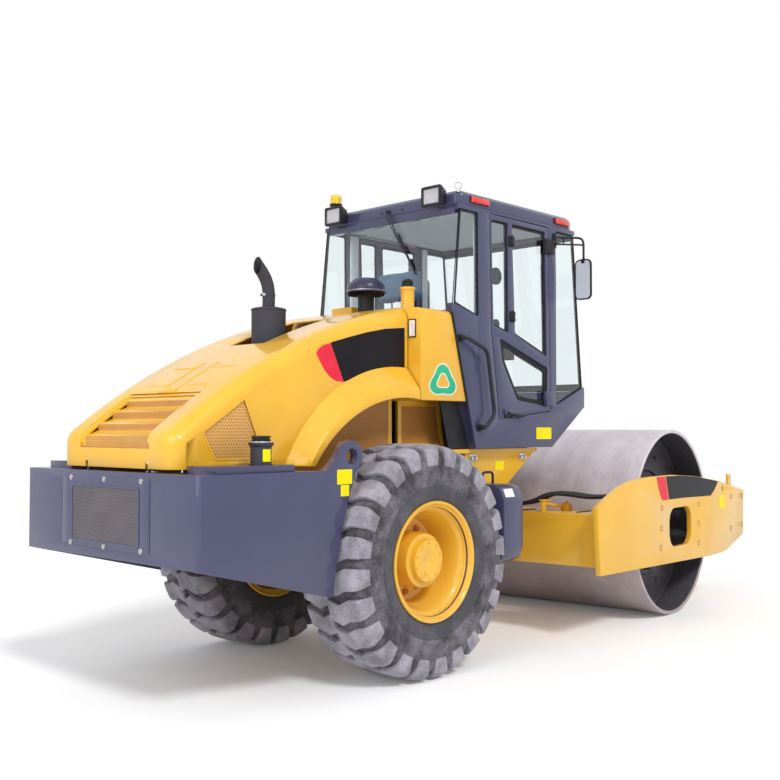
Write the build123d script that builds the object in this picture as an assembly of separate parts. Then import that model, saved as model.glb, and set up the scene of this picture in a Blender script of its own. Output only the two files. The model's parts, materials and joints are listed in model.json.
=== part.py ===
"""Articulated single-drum road roller, built as separate named pieces.

Millimetres, X forward (drum end), Y left, Z up. Everything is drawn with the origin on the
ground under the rear axle and both halves in line; the drum half is then turned about the
hitch to its parked steering angle, and the whole machine is moved to the middle of its own
bounding box.
"""
from build123d import *
import os
from math import atan2, cos, degrees, hypot, pi, radians, sin

# ---------------------------------------------------------------- driving dimensions
WHEEL_R = 720.0          # 20.5-25 tyre, loaded
RIM_FLANGE_Y = 972.0     # outer face of the rim flange
TYRE_WIDTH = 500.0
DRUM_R = 761.5
DRUM_WIDTH = 2130.0
HITCH_X = 1351.0         # steering axis
HITCH_Z = 720.0          # oscillation axis height
WHEELBASE = 2995.0
REST_STEER = 5.3         # degrees to the left, as parked
STEER_STOP = 33.0        # degrees each way from straight ahead

TAIL_X = -1702.0         # counterweight
TAIL_HALF = 870.0
TAIL_TOP = 1296.0
TAIL_BOTTOM = 814.0
TAIL_FRONT = -1500.0
TAIL_CHAMFER = 22.0
DECK_TOP = 1336.0        # raised decks over the tail, beside the hood

HOOD_HALF = 572.0        # engine hood
HOOD_FRONT = 175.0
HOOD_TAIL = -1650.0
HOOD_BOTTOM = 1316.0
HOOD_WALL = 8.0
HOOD_ARC = (980.0, -1849.0, 4258.0)      # centre (x, z) and radius of the top line
EXHAUST_SLOT = (-700.0, -150.0, 170.0)   # rear end, front end, half width
HOOD_HINGE = (-1632.0, 1330.0)
HINGE_PIN_R = 5.0
HINGE_KNUCKLE_R = 10.0

BOX_HALF = 677.0         # tank box behind the cab
BOX_REAR = 190.0
BOX_TOP = 2325.0
BOX_BOTTOM = 1718.0

CAB_HALF = 667.0
CAB_WALL = 45.0
CAB_FLOOR = 1396.0
ROOF_Z = 3070.0
ROOF_TOP = 3167.0
DOOR_GAP = 8.0

PLATE_Y = 1158.0         # outer face of the drum frame's side plates
PLATE_T = 40.0
RUN_FIT = 0.05           # radial play of a pin in its bore
CLEAR = 5.0              # least play between moving pieces
ROUND_FROM = 30.0        # bars of at least this radius are drawn round

ENGINE_BLOCK = (-950.0, 50.0, 330.0, 1750.0)   # rear x, front x, half width, top
MUFFLER = (-522.0, 0.0, 110.0)                 # x, y, radius


# ---------------------------------------------------------------- drawing helpers
def box(x0, x1, y0, y1, z0, z1):
    return Pos((x0 + x1) / 2, (y0 + y1) / 2, (z0 + z1) / 2) * Box(x1 - x0, y1 - y0, z1 - z0)


def rod_x(x0, x1, y, z, r):
    return Pos((x0 + x1) / 2, y, z) * Rot(0, 90, 0) * Cylinder(r, abs(x1 - x0))


def rod_y(x, y0, y1, z, r):
    return Pos(x, (y0 + y1) / 2, z) * Rot(90, 0, 0) * Cylinder(r, abs(y1 - y0))


def rod_z(x, y, z0, z1, r):
    return Pos(x, y, (z0 + z1) / 2) * Cylinder(r, abs(z1 - z0))


def outline(points, radius=0.0):
    """Closed sketch through (u, v) points, its corners rounded to a radius."""
    sketch = make_face(Polyline(*points, close=True))
    return fillet(sketch.vertices(), radius) if radius else sketch


def side_panel(sketch, y0, y1):
    """A sketch in (x, z) pushed out from y0 to y1."""
    plane = Plane((0, y1, 0), x_dir=(1, 0, 0), z_dir=(0, -1, 0))
    return extrude(plane * sketch, y1 - y0)


def end_panel(sketch, x0, x1):
    """A sketch in (y, z) pushed out from x0 to x1."""
    plane = Plane((x0, 0, 0), x_dir=(0, 1, 0), z_dir=(1, 0, 0))
    return extrude(plane * sketch, x1 - x0)


def flat_panel(sketch, z0, z1):
    """A sketch in (x, y) pushed up from z0 to z1."""
    return extrude(Pos(0, 0, z0) * sketch, z1 - z0)


def spun_y(points, y=0.0):
    """A closed (y, radius) outline turned about the Y axis."""
    sketch = make_face(Polyline(*points, close=True))
    plane = Plane((0, y, 0), x_dir=(0, 1, 0), z_dir=(1, 0, 0))
    return revolve(plane * sketch, Axis((0, 0, 0), (0, 1, 0)))


def tube(points, r, bend):
    """A bar through points, its corners bent to a radius; thin bars are drawn eight-sided."""
    path = FilletPolyline(*points, radius=bend) if len(points) > 2 else Line(*points)
    end = Plane(path @ 0, z_dir=path % 0)
    section = RegularPolygon(r, 8) if r < ROUND_FROM else Circle(r)
    return sweep(end * section, path)


def sides(make):
    """make(sign) for the right side (-1) and the left side (+1)."""
    return [make(-1), make(1)]


def span(sign, near, far):
    """A y range that runs outwards from near to far on one side."""
    return sorted((sign * near, sign * far))


# ---------------------------------------------------------------- rear frame and axle
FRAME_HALF = 420.0
FRAME_T = 25.0
FRAME_Z = (580.0, 1080.0)
FRAME_END = 970.0
FRAME_TAIL = (-1480.0, 850.0)    # rear end of the side plates and its lower edge
FRAME_RISE_X = -650.0            # from here back the lower edge rises
AXLE_NOTCH = (150.0, WHEEL_R + 140.0)    # half length and top of the cut over the axle
NOSE_X = 1150.0
EAR_R = 105.0
PIN_R = 45.0
EAR_Z = ((500.0, 540.0), (900.0, 940.0))
CYL_REAR = (700.0, 340.0)       # rear pin of a steering cylinder
CYL_FRONT = (1381.0, 260.0)     # front pin, machine in line
CYL_Z = 660.0


def hitch_ear(z0, z1):
    arm = box(NOSE_X - 40, HITCH_X, -EAR_R, EAR_R, z0, z1)
    ear = arm + rod_z(HITCH_X, 0, z0, z1, EAR_R)
    return ear - rod_z(HITCH_X, 0, z0 - 1, z1 + 1, PIN_R + RUN_FIT)


def rear_frame():
    z0, z1 = FRAME_Z
    rear, rise_z = FRAME_TAIL
    parts = []
    for sign in (-1, 1):
        y = span(sign, FRAME_HALF - FRAME_T, FRAME_HALF)
        shape = outline([(rear, z1), (FRAME_END, z1), (FRAME_END, z0), (FRAME_RISE_X, z0),
                         (rear, rise_z)])
        parts.append(side_panel(shape, *y) - box(-AXLE_NOTCH[0], AXLE_NOTCH[0], y[0] - 1, y[1] + 1,
                                                 z0 - 1, AXLE_NOTCH[1]))
    inner = FRAME_HALF - FRAME_T
    parts += [
        box(rear, rear + FRAME_T, -inner, inner, rise_z + 10, z1),
        box(575, 600, -inner, inner, z0, z1),
        box(-240, 240, -inner, inner, z1 - FRAME_T, z1),
    ]
    nose_half = 160.0
    parts += [
        box(600, NOSE_X, -nose_half, -nose_half + FRAME_T, 500, 1000),
        box(600, NOSE_X, nose_half - FRAME_T, nose_half, 500, 1000),
        box(600, NOSE_X - 30, -nose_half + FRAME_T, nose_half - FRAME_T, 975, 1000),
        box(NOSE_X - 60, NOSE_X - 30, -nose_half + FRAME_T, nose_half - FRAME_T, 500, 975),
    ]
    for z in EAR_Z:
        parts.append(hitch_ear(*z))
    x, y = CYL_REAR
    lug_r = 42.0
    for sign in (-1, 1):
        for z in (CYL_Z - 45, CYL_Z + 25):
            arm = box(600, x, sign * y - lug_r, sign * y + lug_r, z, z + 20)
            lug = arm + rod_z(x, sign * y, z, z + 20, lug_r)
            parts.append(lug - rod_z(x, sign * y, z - 1, z + 21, 20 + RUN_FIT))
    frame = parts[0]
    for piece in parts[1:]:
        frame += piece
    return frame


AXLE_R = 130.0
HUB_FLANGE_Y = 560.0
HUB_BORE = 70.0


def rear_axle():
    bulb = Pos(0, 0, WHEEL_R) * spun_y([(-190, 0), (-190, 120), (-110, 205), (110, 205),
                                        (190, 120), (190, 0)])
    axle = rod_y(0, -HUB_FLANGE_Y, HUB_FLANGE_Y, WHEEL_R, AXLE_R) + bulb
    axle += rod_y(0, -SPINDLE_END, SPINDLE_END, WHEEL_R, HUB_BORE - RUN_FIT)
    for sign in (-1, 1):
        axle += box(-110, 110, *span(sign, 350, FRAME_HALF + 10), WHEEL_R, AXLE_NOTCH[1])
    return axle


# ---------------------------------------------------------------- wheels
TYRE_OUT = RIM_FLANGE_Y + 14.0
TYRE_IN = TYRE_OUT - TYRE_WIDTH
TYRE_MID = (TYRE_OUT + TYRE_IN) / 2
TYRE_HALF = TYRE_WIDTH / 2
HUB_DEPTH = 60.0                 # the spindle's reach into the hub past the tyre's middle
SPINDLE_END = TYRE_MID + HUB_DEPTH - 1
LUG_DEPTH = 32.0
LUGS = 24
BEAD_R = 330.0
FLANGE_R = 370.0
RIM_FLANGE_T = 22.0
LUG_HALF = 58.0
LUG_TOP = (WHEEL_R ** 2 - LUG_HALF ** 2) ** 0.5


def tyre():
    """One tyre about the Y axis at the origin, its middle at y = 0."""
    carcass_r = WHEEL_R - LUG_DEPTH
    half = TYRE_HALF - 12
    bead = RIM_FLANGE_Y - TYRE_MID - RIM_FLANGE_T - 2
    section = [
        (-bead, BEAD_R), (-bead, FLANGE_R + 6), (-half, 480), (-half + 4, 630), (-205, carcass_r),
        (205, carcass_r), (half - 4, 630), (half, 480), (bead, FLANGE_R + 6), (bead, BEAD_R),
    ]
    body = spun_y(section)
    for side in (-1, 1):
        shape = outline([
            (-48, side * 18), (42, side * 18), (LUG_HALF, side * 112), (36, side * 242),
            (-50, side * 242), (-32, side * 112),
        ])
        block = flat_panel(shape, carcass_r - 90, LUG_TOP) - end_cut(side)
        for k in range(LUGS):
            turn = 360.0 / LUGS * (k + (0.25 if side > 0 else -0.25))
            body += Rot(0, turn, 0) * block
    return body


def end_cut(side):
    """What the rounded shoulder takes off the end of a lug."""
    top = WHEEL_R + 5
    pts = [(side * 200, top), (side * 246, WHEEL_R - 60), (side * 300, WHEEL_R - 60),
           (side * 300, top)]
    return end_panel(outline(pts), -90, 90)


def rim():
    """One rim with its hub about the Y axis, the flange's outer face at y = +216."""
    face = RIM_FLANGE_Y - TYRE_MID
    inner = -face
    barrel = spun_y([
        (face, FLANGE_R), (face - RIM_FLANGE_T, FLANGE_R), (face - RIM_FLANGE_T, BEAD_R - 1),
        (inner + RIM_FLANGE_T, BEAD_R - 1), (inner + RIM_FLANGE_T, FLANGE_R), (inner, FLANGE_R),
        (inner, BEAD_R - 20), (-60, BEAD_R - 26), (-60, 170), (-30, 170), (-30, 245),
        (face - 120, 290), (face - 60, 322), (face - 10, 336), (face, 352),
    ])
    hub = spun_y([(-60, HUB_BORE), (-60, 175), (face - 95, 172), (face - 60, 165),
                  (face - 60, 128), (face - 8, 122), (face + 2, 110), (face + 2, 0),
                  (HUB_DEPTH, 0), (HUB_DEPTH, HUB_BORE)])
    wheel = barrel + hub
    studs = 12
    for k in range(studs):
        a = 2 * pi * k / studs
        nut = extrude(Plane((205 * cos(a), -30, 205 * sin(a)), z_dir=(0, 1, 0))
                      * RegularPolygon(16, 6), 26)
        wheel += nut
    return wheel


def on_axle(shape, sign):
    turned = shape if sign > 0 else Rot(0, 0, 180) * shape
    return Pos(0, sign * TYRE_MID, WHEEL_R) * turned


# ---------------------------------------------------------------- counterweight and tail
SIDE_T = 60.0
EAR_HOLE = (-(WHEEL_R - 94.0), 1374.0, 44.0)
EAR_DISC_R = 92.0
HINGE_Y = (-330.0, 280.0)        # lugs of the hood's hinge


def counterweight():
    """Cast tail block with a window for the cooler, the decks over it and the hood's hinge lugs."""
    skin = box(TAIL_X, TAIL_X + TAIL_CHAMFER, -TAIL_HALF, TAIL_HALF, TAIL_BOTTOM, TAIL_TOP)
    skin = chamfer(skin.edges().filter_by(Axis.Z).group_by(Axis.X)[0], TAIL_CHAMFER - 0.5)
    inner = TAIL_HALF - SIDE_T
    block = skin + box(TAIL_X, TAIL_FRONT, -inner, inner, TAIL_BOTTOM, TAIL_TOP)
    block -= box(TAIL_X - 1, TAIL_FRONT + 1, -340, 340, 900, 1210)
    for sign in (-1, 1):
        block += box(TAIL_FRONT, -860, *span(sign, 520, inner), TAIL_TOP - 20, TAIL_TOP)
        block += box(TAIL_FRONT, TAIL_FRONT + 45, *span(sign, FRAME_HALF, inner), 830,
                     TAIL_TOP - 20)
        block += box(-1570, -1040, *span(sign, 590, 840), TAIL_TOP, DECK_TOP)
    block += box(TAIL_FRONT, TAIL_FRONT + 20, -FRAME_HALF, FRAME_HALF, 860, 899)
    hx, hz = HOOD_HINGE
    for y in HINGE_Y:
        lug = box(hx - 9, hx + 9, y - 6, y + 6, TAIL_TOP, hz) + rod_y(hx, y - 6, y + 6, hz, 9)
        block += lug + rod_y(hx, y, y + 50, hz, HINGE_PIN_R)
    return block


def tail_sides():
    """Thick side plates of the tail, hollowed to the wheel in front, each with a lifting eye."""
    hx, hz, hr = EAR_HOLE
    rear = TAIL_X + TAIL_CHAMFER
    low, high = (-(WHEEL_R + 52), 581.0), (hx + 84, hz + 26)
    front = ThreePointArc(low, (-(WHEEL_R - 5), WHEEL_R + 180), high)
    rest = Polyline(high, (hx - 84, hz + 26), (hx - 154, TAIL_TOP + 30), (hx - 200, TAIL_TOP),
                    (rear, TAIL_TOP), (rear, TAIL_BOTTOM - 6), low)
    side = make_face(front + rest)

    def one(sign):
        y = span(sign, TAIL_HALF - SIDE_T, TAIL_HALF)
        plate = side_panel(side, *y) + rod_y(hx, y[0], y[1], hz, EAR_DISC_R)
        return plate - rod_y(hx, y[0] - 1, y[1] + 1, hz, hr)
    return sides(one)


def rear_screen():
    frame = box(TAIL_X - 10, TAIL_X, -445, 445, 868, 1268)
    frame -= box(TAIL_X - 11, TAIL_X + 1, -340, 340, 900, 1210)
    mesh = box(TAIL_X - 4, TAIL_X + 4, -340, 340, 900, 1210)
    return frame + mesh


NECK = (-1210.0, -760.0)          # hydraulic tank's neck on the right deck
TANK_PIPE = (300.0, -460.0)       # fuel filler on the tank box
TANK_PIPE_R = 45.0
TANK_PIPE_TOP = BOX_TOP + 155.0


def filler_necks():
    x, y = NECK
    z = DECK_TOP
    neck = rod_z(x, y, z, z + 105, 58) + rod_z(x, y, z + 105, z + 160, 72)
    tx, ty = TANK_PIPE
    cap = rod_z(tx, ty, TANK_PIPE_TOP, TANK_PIPE_TOP + 50, TANK_PIPE_R - 7)
    return [neck, cap]


# ---------------------------------------------------------------- engine, exhaust, air
def engine_block():
    x0, x1, half, top = ENGINE_BLOCK
    return box(x0, x1, -half, half, FRAME_Z[1], top)


PIPE_R = 40.0
PIPE_TIP = 2650.0


def exhaust():
    x, y, r = MUFFLER
    can = rod_z(x, y, 1960, 2300, r) + rod_z(x, y, 2300, 2318, r - 14)
    can += rod_z(x, y, ENGINE_BLOCK[3], 1960, 45)
    path = FilletPolyline((x, y, 2318), (x, y, 2455), (x - 128, y, PIPE_TIP + 60), radius=160)
    pipe = sweep(Plane(path @ 0, z_dir=path % 0) * Circle(PIPE_R), path)
    bore = sweep(Plane(path @ 0, z_dir=path % 0) * Circle(PIPE_R - 5), path)
    pipe -= bore + box(x - 400, x + 100, -100, 100, PIPE_TIP, PIPE_TIP + 200)
    band = rod_z(x, y, 2350, 2374, PIPE_R + 7) - rod_z(x, y, 2349, 2375, PIPE_R)
    return can + pipe + band


CLEANER = (290.0, -80.0)


def pre_cleaner():
    x, y = CLEANER
    stem = rod_z(x, y, BOX_TOP, 2452, 54)
    bowl = Pos(x, y, 0) * revolve(Plane.XZ * make_face(Polyline(
        (0, 2452), (72, 2452), (118, 2474), (136, 2486), (138, 2506), (130, 2528), (92, 2566),
        (0, 2580), close=True)), Axis.Z)
    return stem + bowl


# ---------------------------------------------------------------- hood
HOOD_FILLET = 95.0
ARCH_ROOT = ((-872.0, 1312.0), (-476.0, 1766.0), (HOOD_FRONT, 1928.0))
ARCH_LIP = ((-742.0, 1312.0), (-423.0, 1605.0), (HOOD_FRONT, 1722.0))
LIP_HALF = 685.0
LIP_DROP = 58.0


def hood_top(x):
    """Height of the hood's top line."""
    cx, cz, r = HOOD_ARC
    return cz + (r ** 2 - (x - cx) ** 2) ** 0.5


def hood_profile(inset=0.0):
    """Side view of the hood in (x, z), drawn in from its outside by inset."""
    past = 30.0 if inset else 0.0                    # the hollow runs out past the open sides
    front, low = HOOD_FRONT + past, HOOD_BOTTOM - past
    start, middle, end = ((x, hood_top(x)) for x in (front, (front + HOOD_TAIL) / 2, HOOD_TAIL))
    rest = Polyline(end, (HOOD_TAIL, low), (front, low), start)
    face = make_face(ThreePointArc(start, middle, end) + rest)
    corner = face.vertices().sort_by_distance(end)[0]
    face = fillet(corner, HOOD_FILLET)
    if inset:
        face = offset(face, -inset)
    return face


def arch_face(points, grow=0.0):
    """Area under an arch curve, down past the hood's lower edge, the curve raised by grow."""
    a, b, c = points
    start, end = (a[0] - grow, a[1]), (c[0], c[1] + grow)
    arc = ThreePointArc(start, (b[0] - grow * .6, b[1] + grow * .8), end)
    rest = Polyline(end, (end[0], HOOD_BOTTOM - 60), (start[0], HOOD_BOTTOM - 60), start)
    return make_face(arc + rest)


def side_plane(y):
    return Plane((0, y, 0), x_dir=(1, 0, 0), z_dir=(0, -1, 0))


def hood_solid(inset=0.0):
    """The hood's closed outer form, or its hollow, with rounded long edges and rear corners."""
    half = HOOD_HALF - inset
    form = side_panel(hood_profile(inset), -half, half)
    front = form.faces().sort_by(Axis.X)[-1]
    low = form.faces().sort_by(Axis.Z)[0]
    open_edges = front.edges() + low.edges()
    rim_edges = [e for face in (form.faces().sort_by(Axis.Y)[0], form.faces().sort_by(Axis.Y)[-1])
                 for e in face.edges() if all((e.center() - o.center()).length > 1 for o in open_edges)]
    return fillet(rim_edges, HOOD_FILLET - inset)


def hood():
    half = HOOD_HALF
    shell = hood_solid() - hood_solid(HOOD_WALL)
    for sign in (-1, 1):
        cut = extrude(side_plane(sign * half) * arch_face(ARCH_ROOT, 6), 60, both=True)
        shell -= cut
        shell += arch_flare(sign)
        vent = side_panel(outline(VENT, 14), *span(sign, half - 30, half + 30))
        shell -= vent
    x0, x1, y = EXHAUST_SLOT
    shell -= box(x0, x1, -y, y, 1900, 2600)
    shell -= louvre_opening()
    hx, hz = HOOD_HINGE
    for y in HINGE_Y:
        shell -= box(HOOD_TAIL - 5, hx + 20, y - 14, y + 14, HOOD_BOTTOM - 5, hz + 20)
        knuckle = rod_y(hx, y + 15, y + 48, hz, HINGE_KNUCKLE_R)
        knuckle += box(HOOD_TAIL + 2, hx, y + 15, y + 48, hz - 8, hz + 8)
        shell += knuckle - rod_y(hx, y + 14, y + 49, hz, HINGE_PIN_R + RUN_FIT)
    return shell


def arch_flare(sign):
    """Flared lip of a wheel arch: a cone from the hood's side out to a short upright edge."""
    t = HOOD_WALL
    mid = ((ARCH_LIP[0][0] - 40, ARCH_LIP[0][1]),
           (ARCH_LIP[1][0] - 30, ARCH_LIP[1][1] + 46), (HOOD_FRONT, ARCH_LIP[2][1] + LIP_DROP))
    y_in = sign * (HOOD_HALF - t)
    y_out = sign * LIP_HALF
    outer = loft([side_plane(y_in) * arch_face(ARCH_ROOT, 12), side_plane(y_out) * arch_face(mid)],
                 ruled=True)
    inner = loft([side_plane(y_in) * arch_face(ARCH_ROOT, 1),
                  side_plane(y_out) * arch_face(mid, -t)], ruled=True)
    inner += extrude(side_plane(y_in) * arch_face(ARCH_ROOT, 1), 5, both=True)
    inner += extrude(side_plane(y_out) * arch_face(mid, -t), 5, both=True)
    lip = extrude(side_plane(y_out - sign * t / 2) * arch_face(mid), t / 2, both=True)
    lip -= extrude(side_plane(y_out) * arch_face(ARCH_LIP), 20, both=True)
    below = box(-1500, HOOD_FRONT + 50, *span(sign, HOOD_HALF - 50, LIP_HALF + 50),
                HOOD_BOTTOM - 100, HOOD_BOTTOM)
    return (outer - inner) + lip - below


VENT = [(-1171, 1711), (-1017, 1357), (-1382, 1360), (-1465, 1517)]
LOUVRE_HALF = 355.0
LOUVRE_LOW = 1425.0
LOUVRE_HIGH = 1742.0
LOUVRE_BORDER = 28.0
LOUVRE_NOSES = [(-1628, 1492), (-1548, 1560), (-1452, 1630), (-1355, 1697), (-1306, 1716)]
BLADE_RISE = 31.0


def louvre_opening():
    return box(HOOD_TAIL - 50, -1000, -LOUVRE_HALF, LOUVRE_HALF, LOUVRE_LOW, LOUVRE_HIGH)


def louvre_steps():
    """Sheet folded to four sloping blades with upright risers between, over an upright foot."""
    path = [(-1632, LOUVRE_LOW + 6)]
    for (x, z), (next_x, _) in zip(LOUVRE_NOSES, LOUVRE_NOSES[1:]):
        path += [(x, z), (next_x, z + BLADE_RISE)]
    back = [(x + 11, z - 8) for x, z in reversed(path)]
    half = LOUVRE_HALF - LOUVRE_BORDER + 2
    return side_panel(outline(path + back), -half, half)


def hood_screens():
    """Stepped rear panel in its border, and the two meshes in the hood's sides."""
    parts = []
    t = HOOD_WALL
    inner = HOOD_HALF - t
    for sign in (-1, 1):
        parts.append(side_panel(outline(VENT, 14), *span(sign, inner - 2, inner + 2)))
    border = side_panel(hood_profile(6), -LOUVRE_HALF, LOUVRE_HALF)
    border -= side_panel(hood_profile(26), -LOUVRE_HALF - 5, LOUVRE_HALF + 5)
    border &= louvre_opening()
    half = LOUVRE_HALF - LOUVRE_BORDER
    border -= box(HOOD_TAIL - 50, -1000, -half, half, LOUVRE_LOW + 14, LOUVRE_HIGH - 20)
    parts.append(border + louvre_steps())
    return parts


# ---------------------------------------------------------------- tank box and side screens
BOX_SIDE = [(BOX_REAR, BOX_BOTTOM), (BOX_REAR, BOX_TOP), (490, BOX_TOP), (650, BOX_BOTTOM)]


def tank_box():
    tank = side_panel(outline(BOX_SIDE), -BOX_HALF, BOX_HALF)
    top = tank.edges().filter_by(Axis.X).group_by(Axis.Z)[-1]
    tank = fillet(top, 40)
    tank += box(240, 420, 15, 215, BOX_TOP - 5, BOX_TOP + 58)
    x, y = TANK_PIPE
    tank += rod_z(x, y, BOX_TOP - 5, TANK_PIPE_TOP, TANK_PIPE_R)
    tank += rod_z(x, y, TANK_PIPE_TOP - 14, TANK_PIPE_TOP, TANK_PIPE_R + 6)
    for sign in (-1, 1):
        tank += box(260, 560, *span(sign, 385, FRAME_HALF), FRAME_Z[1], BOX_BOTTOM)
    return tank


SCREEN_Y = FRAME_HALF
SCREEN_T = 8.0
SCREEN_BORDER = 34.0
SCREEN_AFT = [(-820, 1050), (-820, 1300), (-560, 1640), (180, 1800), (180, 1050)]
SCREEN_FORE = [(240, 1400), (240, BOX_BOTTOM), (660, BOX_BOTTOM), (720, 1400)]


def side_screens():
    """Mesh panels beside the engine: thin mesh in a thicker pressed border."""
    def panel(sign, points):
        y = span(sign, SCREEN_Y, SCREEN_Y + SCREEN_T)
        frame = side_panel(outline(points), *y)
        frame -= side_panel(shrink(points, SCREEN_BORDER), y[0] - 1, y[1] + 1)
        return frame + side_panel(outline(points), *span(sign, SCREEN_Y, SCREEN_Y + 3))
    return [panel(sign, points) for sign in (-1, 1) for points in (SCREEN_AFT, SCREEN_FORE)]


# ---------------------------------------------------------------- cab carriage and steps
STEP_X = (WHEEL_R + 35.0, WHEEL_R + 247.0)
STEP_Y = (420.0, 920.0)
STEP_Z = (620.0, 1155.0)


def step_boxes():
    def one(sign):
        y0, y1 = STEP_Y
        z0, z1 = STEP_Z
        shape = outline([(sign * y0, z0), (sign * y0, z1), (sign * (y1 - 95), z1),
                         (sign * (y1 - 30), z1 - 25), (sign * y1, z1 - 95), (sign * y1, z0 + 110),
                         (sign * (y1 - 30), z0 + 35), (sign * (y1 - 110), z0)])
        return end_panel(shape, *STEP_X)
    return sides(one)


def cab_mounts():
    """Pedestal on the frame's nose, with a gusseted flange that carries the cab."""
    flange_z = (1362.0, CAB_FLOOR - 6)
    table = box(600, 1590, -600, 600, *flange_z)
    table -= box(800, 1160, -420, 420, flange_z[0] - 1, flange_z[1] + 1)
    post = box(620, 1180, -160, 160, 1000, flange_z[0])
    post -= box(645, 1155, -135, 135, 999, flange_z[0] - 25)
    mount = table + post
    for sign in (-1, 1):
        gusset = outline([(760, flange_z[0]), (1575, flange_z[0]), (1250, 1137), (985, 1137),
                          (985, 1175), (760, 1175)])
        mount += side_panel(gusset, *span(sign, 560, 580))
        mount += box(760, 785, *span(sign, 160, 415), 1085, flange_z[0])
        mount += box(1160, 1180, *span(sign, 150, 565), 1137, flange_z[0])
        mount += box(600, 785, *span(sign, 385, FRAME_HALF), FRAME_Z[1], flange_z[0])
    for x, y in MOUNT_PADS:
        for sign in (-1, 1):
            mount += rod_z(x, sign * y, flange_z[1], CAB_FLOOR, 45)
    return mount


MOUNT_PADS = ((820.0, 520.0), (1500.0, 520.0))


# ---------------------------------------------------------------- cab
CAB_SIDE = [(602, ROOF_Z), (520, 2335), (757, 1455), (773, CAB_FLOOR), (1689, CAB_FLOOR),
            (2131, 1701), (2131, 1826), (2004, ROOF_Z)]
REAR_PANE = ((532, 2320), (609, 3036))       # outer face of the rear glass
FRONT_PANE = ((2120, 1828), (1998, 3036))    # outer face of the front glass
QUARTER = [(480, 2395), (812, 2303), (806, 3036), (540, 3036)]
CORNER_GLASS = [(1741, 1706), (2160, 1868), (2080, 3036), (1741, 3036)]
DOORWAY = [(930, 3052), (948, 2210), (1035, 1594), (1672, 1660), (1652, 3052)]
DOOR_HINGE = (1680.0, CAB_HALF + 14.0)
DOOR_HINGE_Z = (2900.0, 1760.0)


def shrink(points, by):
    """The outline drawn in by a distance."""
    sketch = outline(points)
    return offset(sketch, -by)


def cab_frame():
    def wall(sign):
        y = span(sign, CAB_HALF - CAB_WALL, CAB_HALF)
        plate = side_panel(outline(CAB_SIDE), *y)
        for hole in (QUARTER, CORNER_GLASS, DOORWAY):
            plate -= side_panel(outline(hole, 22), y[0] - 1, y[1] + 1)
        hx, hy = DOOR_HINGE
        for z in DOOR_HINGE_Z:
            for end in (-1, 1):
                low = z + end * 43 if end > 0 else z - 43 - 8
                plate += box(hx - 9, hx + 30, *span(sign, CAB_HALF, CAB_HALF + 23), low, low + 8)
            plate += rod_z(hx, sign * hy, z - 43, z + 43, HINGE_PIN_R)
        return plate
    inner = CAB_HALF - CAB_WALL
    frame = wall(-1) + wall(1)
    frame += box(604, 660, -inner, inner, ROOF_Z - 60, ROOF_Z)
    frame += box(1940, 1996, -inner, inner, ROOF_Z - 45, ROOF_Z)
    return frame


def cab_shell():
    inner = CAB_HALF - CAB_WALL
    floor = box(775, 1700, -inner, inner, CAB_FLOOR, CAB_FLOOR + 30)
    rear = side_panel(outline([(757, 1455), (773, CAB_FLOOR), (820, CAB_FLOOR), (805, 1455),
                               (574, 2318), (524, 2318)]), -inner, inner)
    nose = side_panel(outline([(1689, CAB_FLOOR), (2131, 1701), (2131, 1826), (2096, 1826),
                               (2096, 1722), (1680, CAB_FLOOR + 32)]), -inner, inner)
    return floor + rear + nose


def cab_roof():
    half = CAB_HALF
    front = 2058.0
    plan = outline([(598, -half + 40), (640, -half), (1930, -half), (front, -half + 70),
                    (front, half - 70), (1930, half), (640, half), (598, half - 40)])
    roof = flat_panel(plan, ROOF_Z, ROOF_TOP)
    rim_edges = roof.edges().group_by(Axis.Z)[-1]
    roof = chamfer(rim_edges, 28)
    return roof


GLASS_T = 6.0


def pane(line, y0, y1, thick):
    """An upright glass across the cab, its outer face on a line in (x, z)."""
    (ax, az), (bx, bz) = line
    return side_panel(outline([(ax, az), (bx, bz), (bx + thick, bz), (ax + thick, az)]), y0, y1)


def beyond(line, thick):
    """Everything outwards of a glass that stands on the line."""
    (ax, az), (bx, bz) = line
    out = -3000 if thick > 0 else 3000
    lean = (bx - ax) / (bz - az)
    low, high = ax - lean * 500, bx + lean * 500
    return side_panel(outline([(low, az - 500), (high, bz + 500), (out, bz + 500),
                               (out, az - 500)]), -1000, 1000)


def cab_glass():
    """Rear and front glasses that meet the side panes at the cab's corners."""
    parts = []
    inner, face = CAB_HALF - CAB_WALL, CAB_HALF - 12
    for line, side, thick in ((REAR_PANE, QUARTER, GLASS_T), (FRONT_PANE, CORNER_GLASS, -GLASS_T)):
        glass = pane(line, -inner, inner, thick)
        glass -= box(0, 3000, -1000, 1000, 3010, 3200)
        across = pane(line, -face, face, thick)
        for sign in (-1, 1):
            y = span(sign, inner, face)
            hole = side_panel(shrink(side, 1), *y)
            corner = across & hole
            glass += corner + (side_panel(outline(side, 22), *span(sign, face - GLASS_T, face))
                               - beyond(line, thick))
        parts.append(glass)
    return parts


W_REAR = [(950, 3010), (972, 2262), (1152, 2216), (1146, 3010)]
W_MAIN = [(1192, 3010), (1226, 2208), (1622, 2070), (1606, 3010)]
W_LOW = [(1042, 2176), (1078, 2004), (1250, 1738), (1620, 1700), (1634, 1985)]


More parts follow.
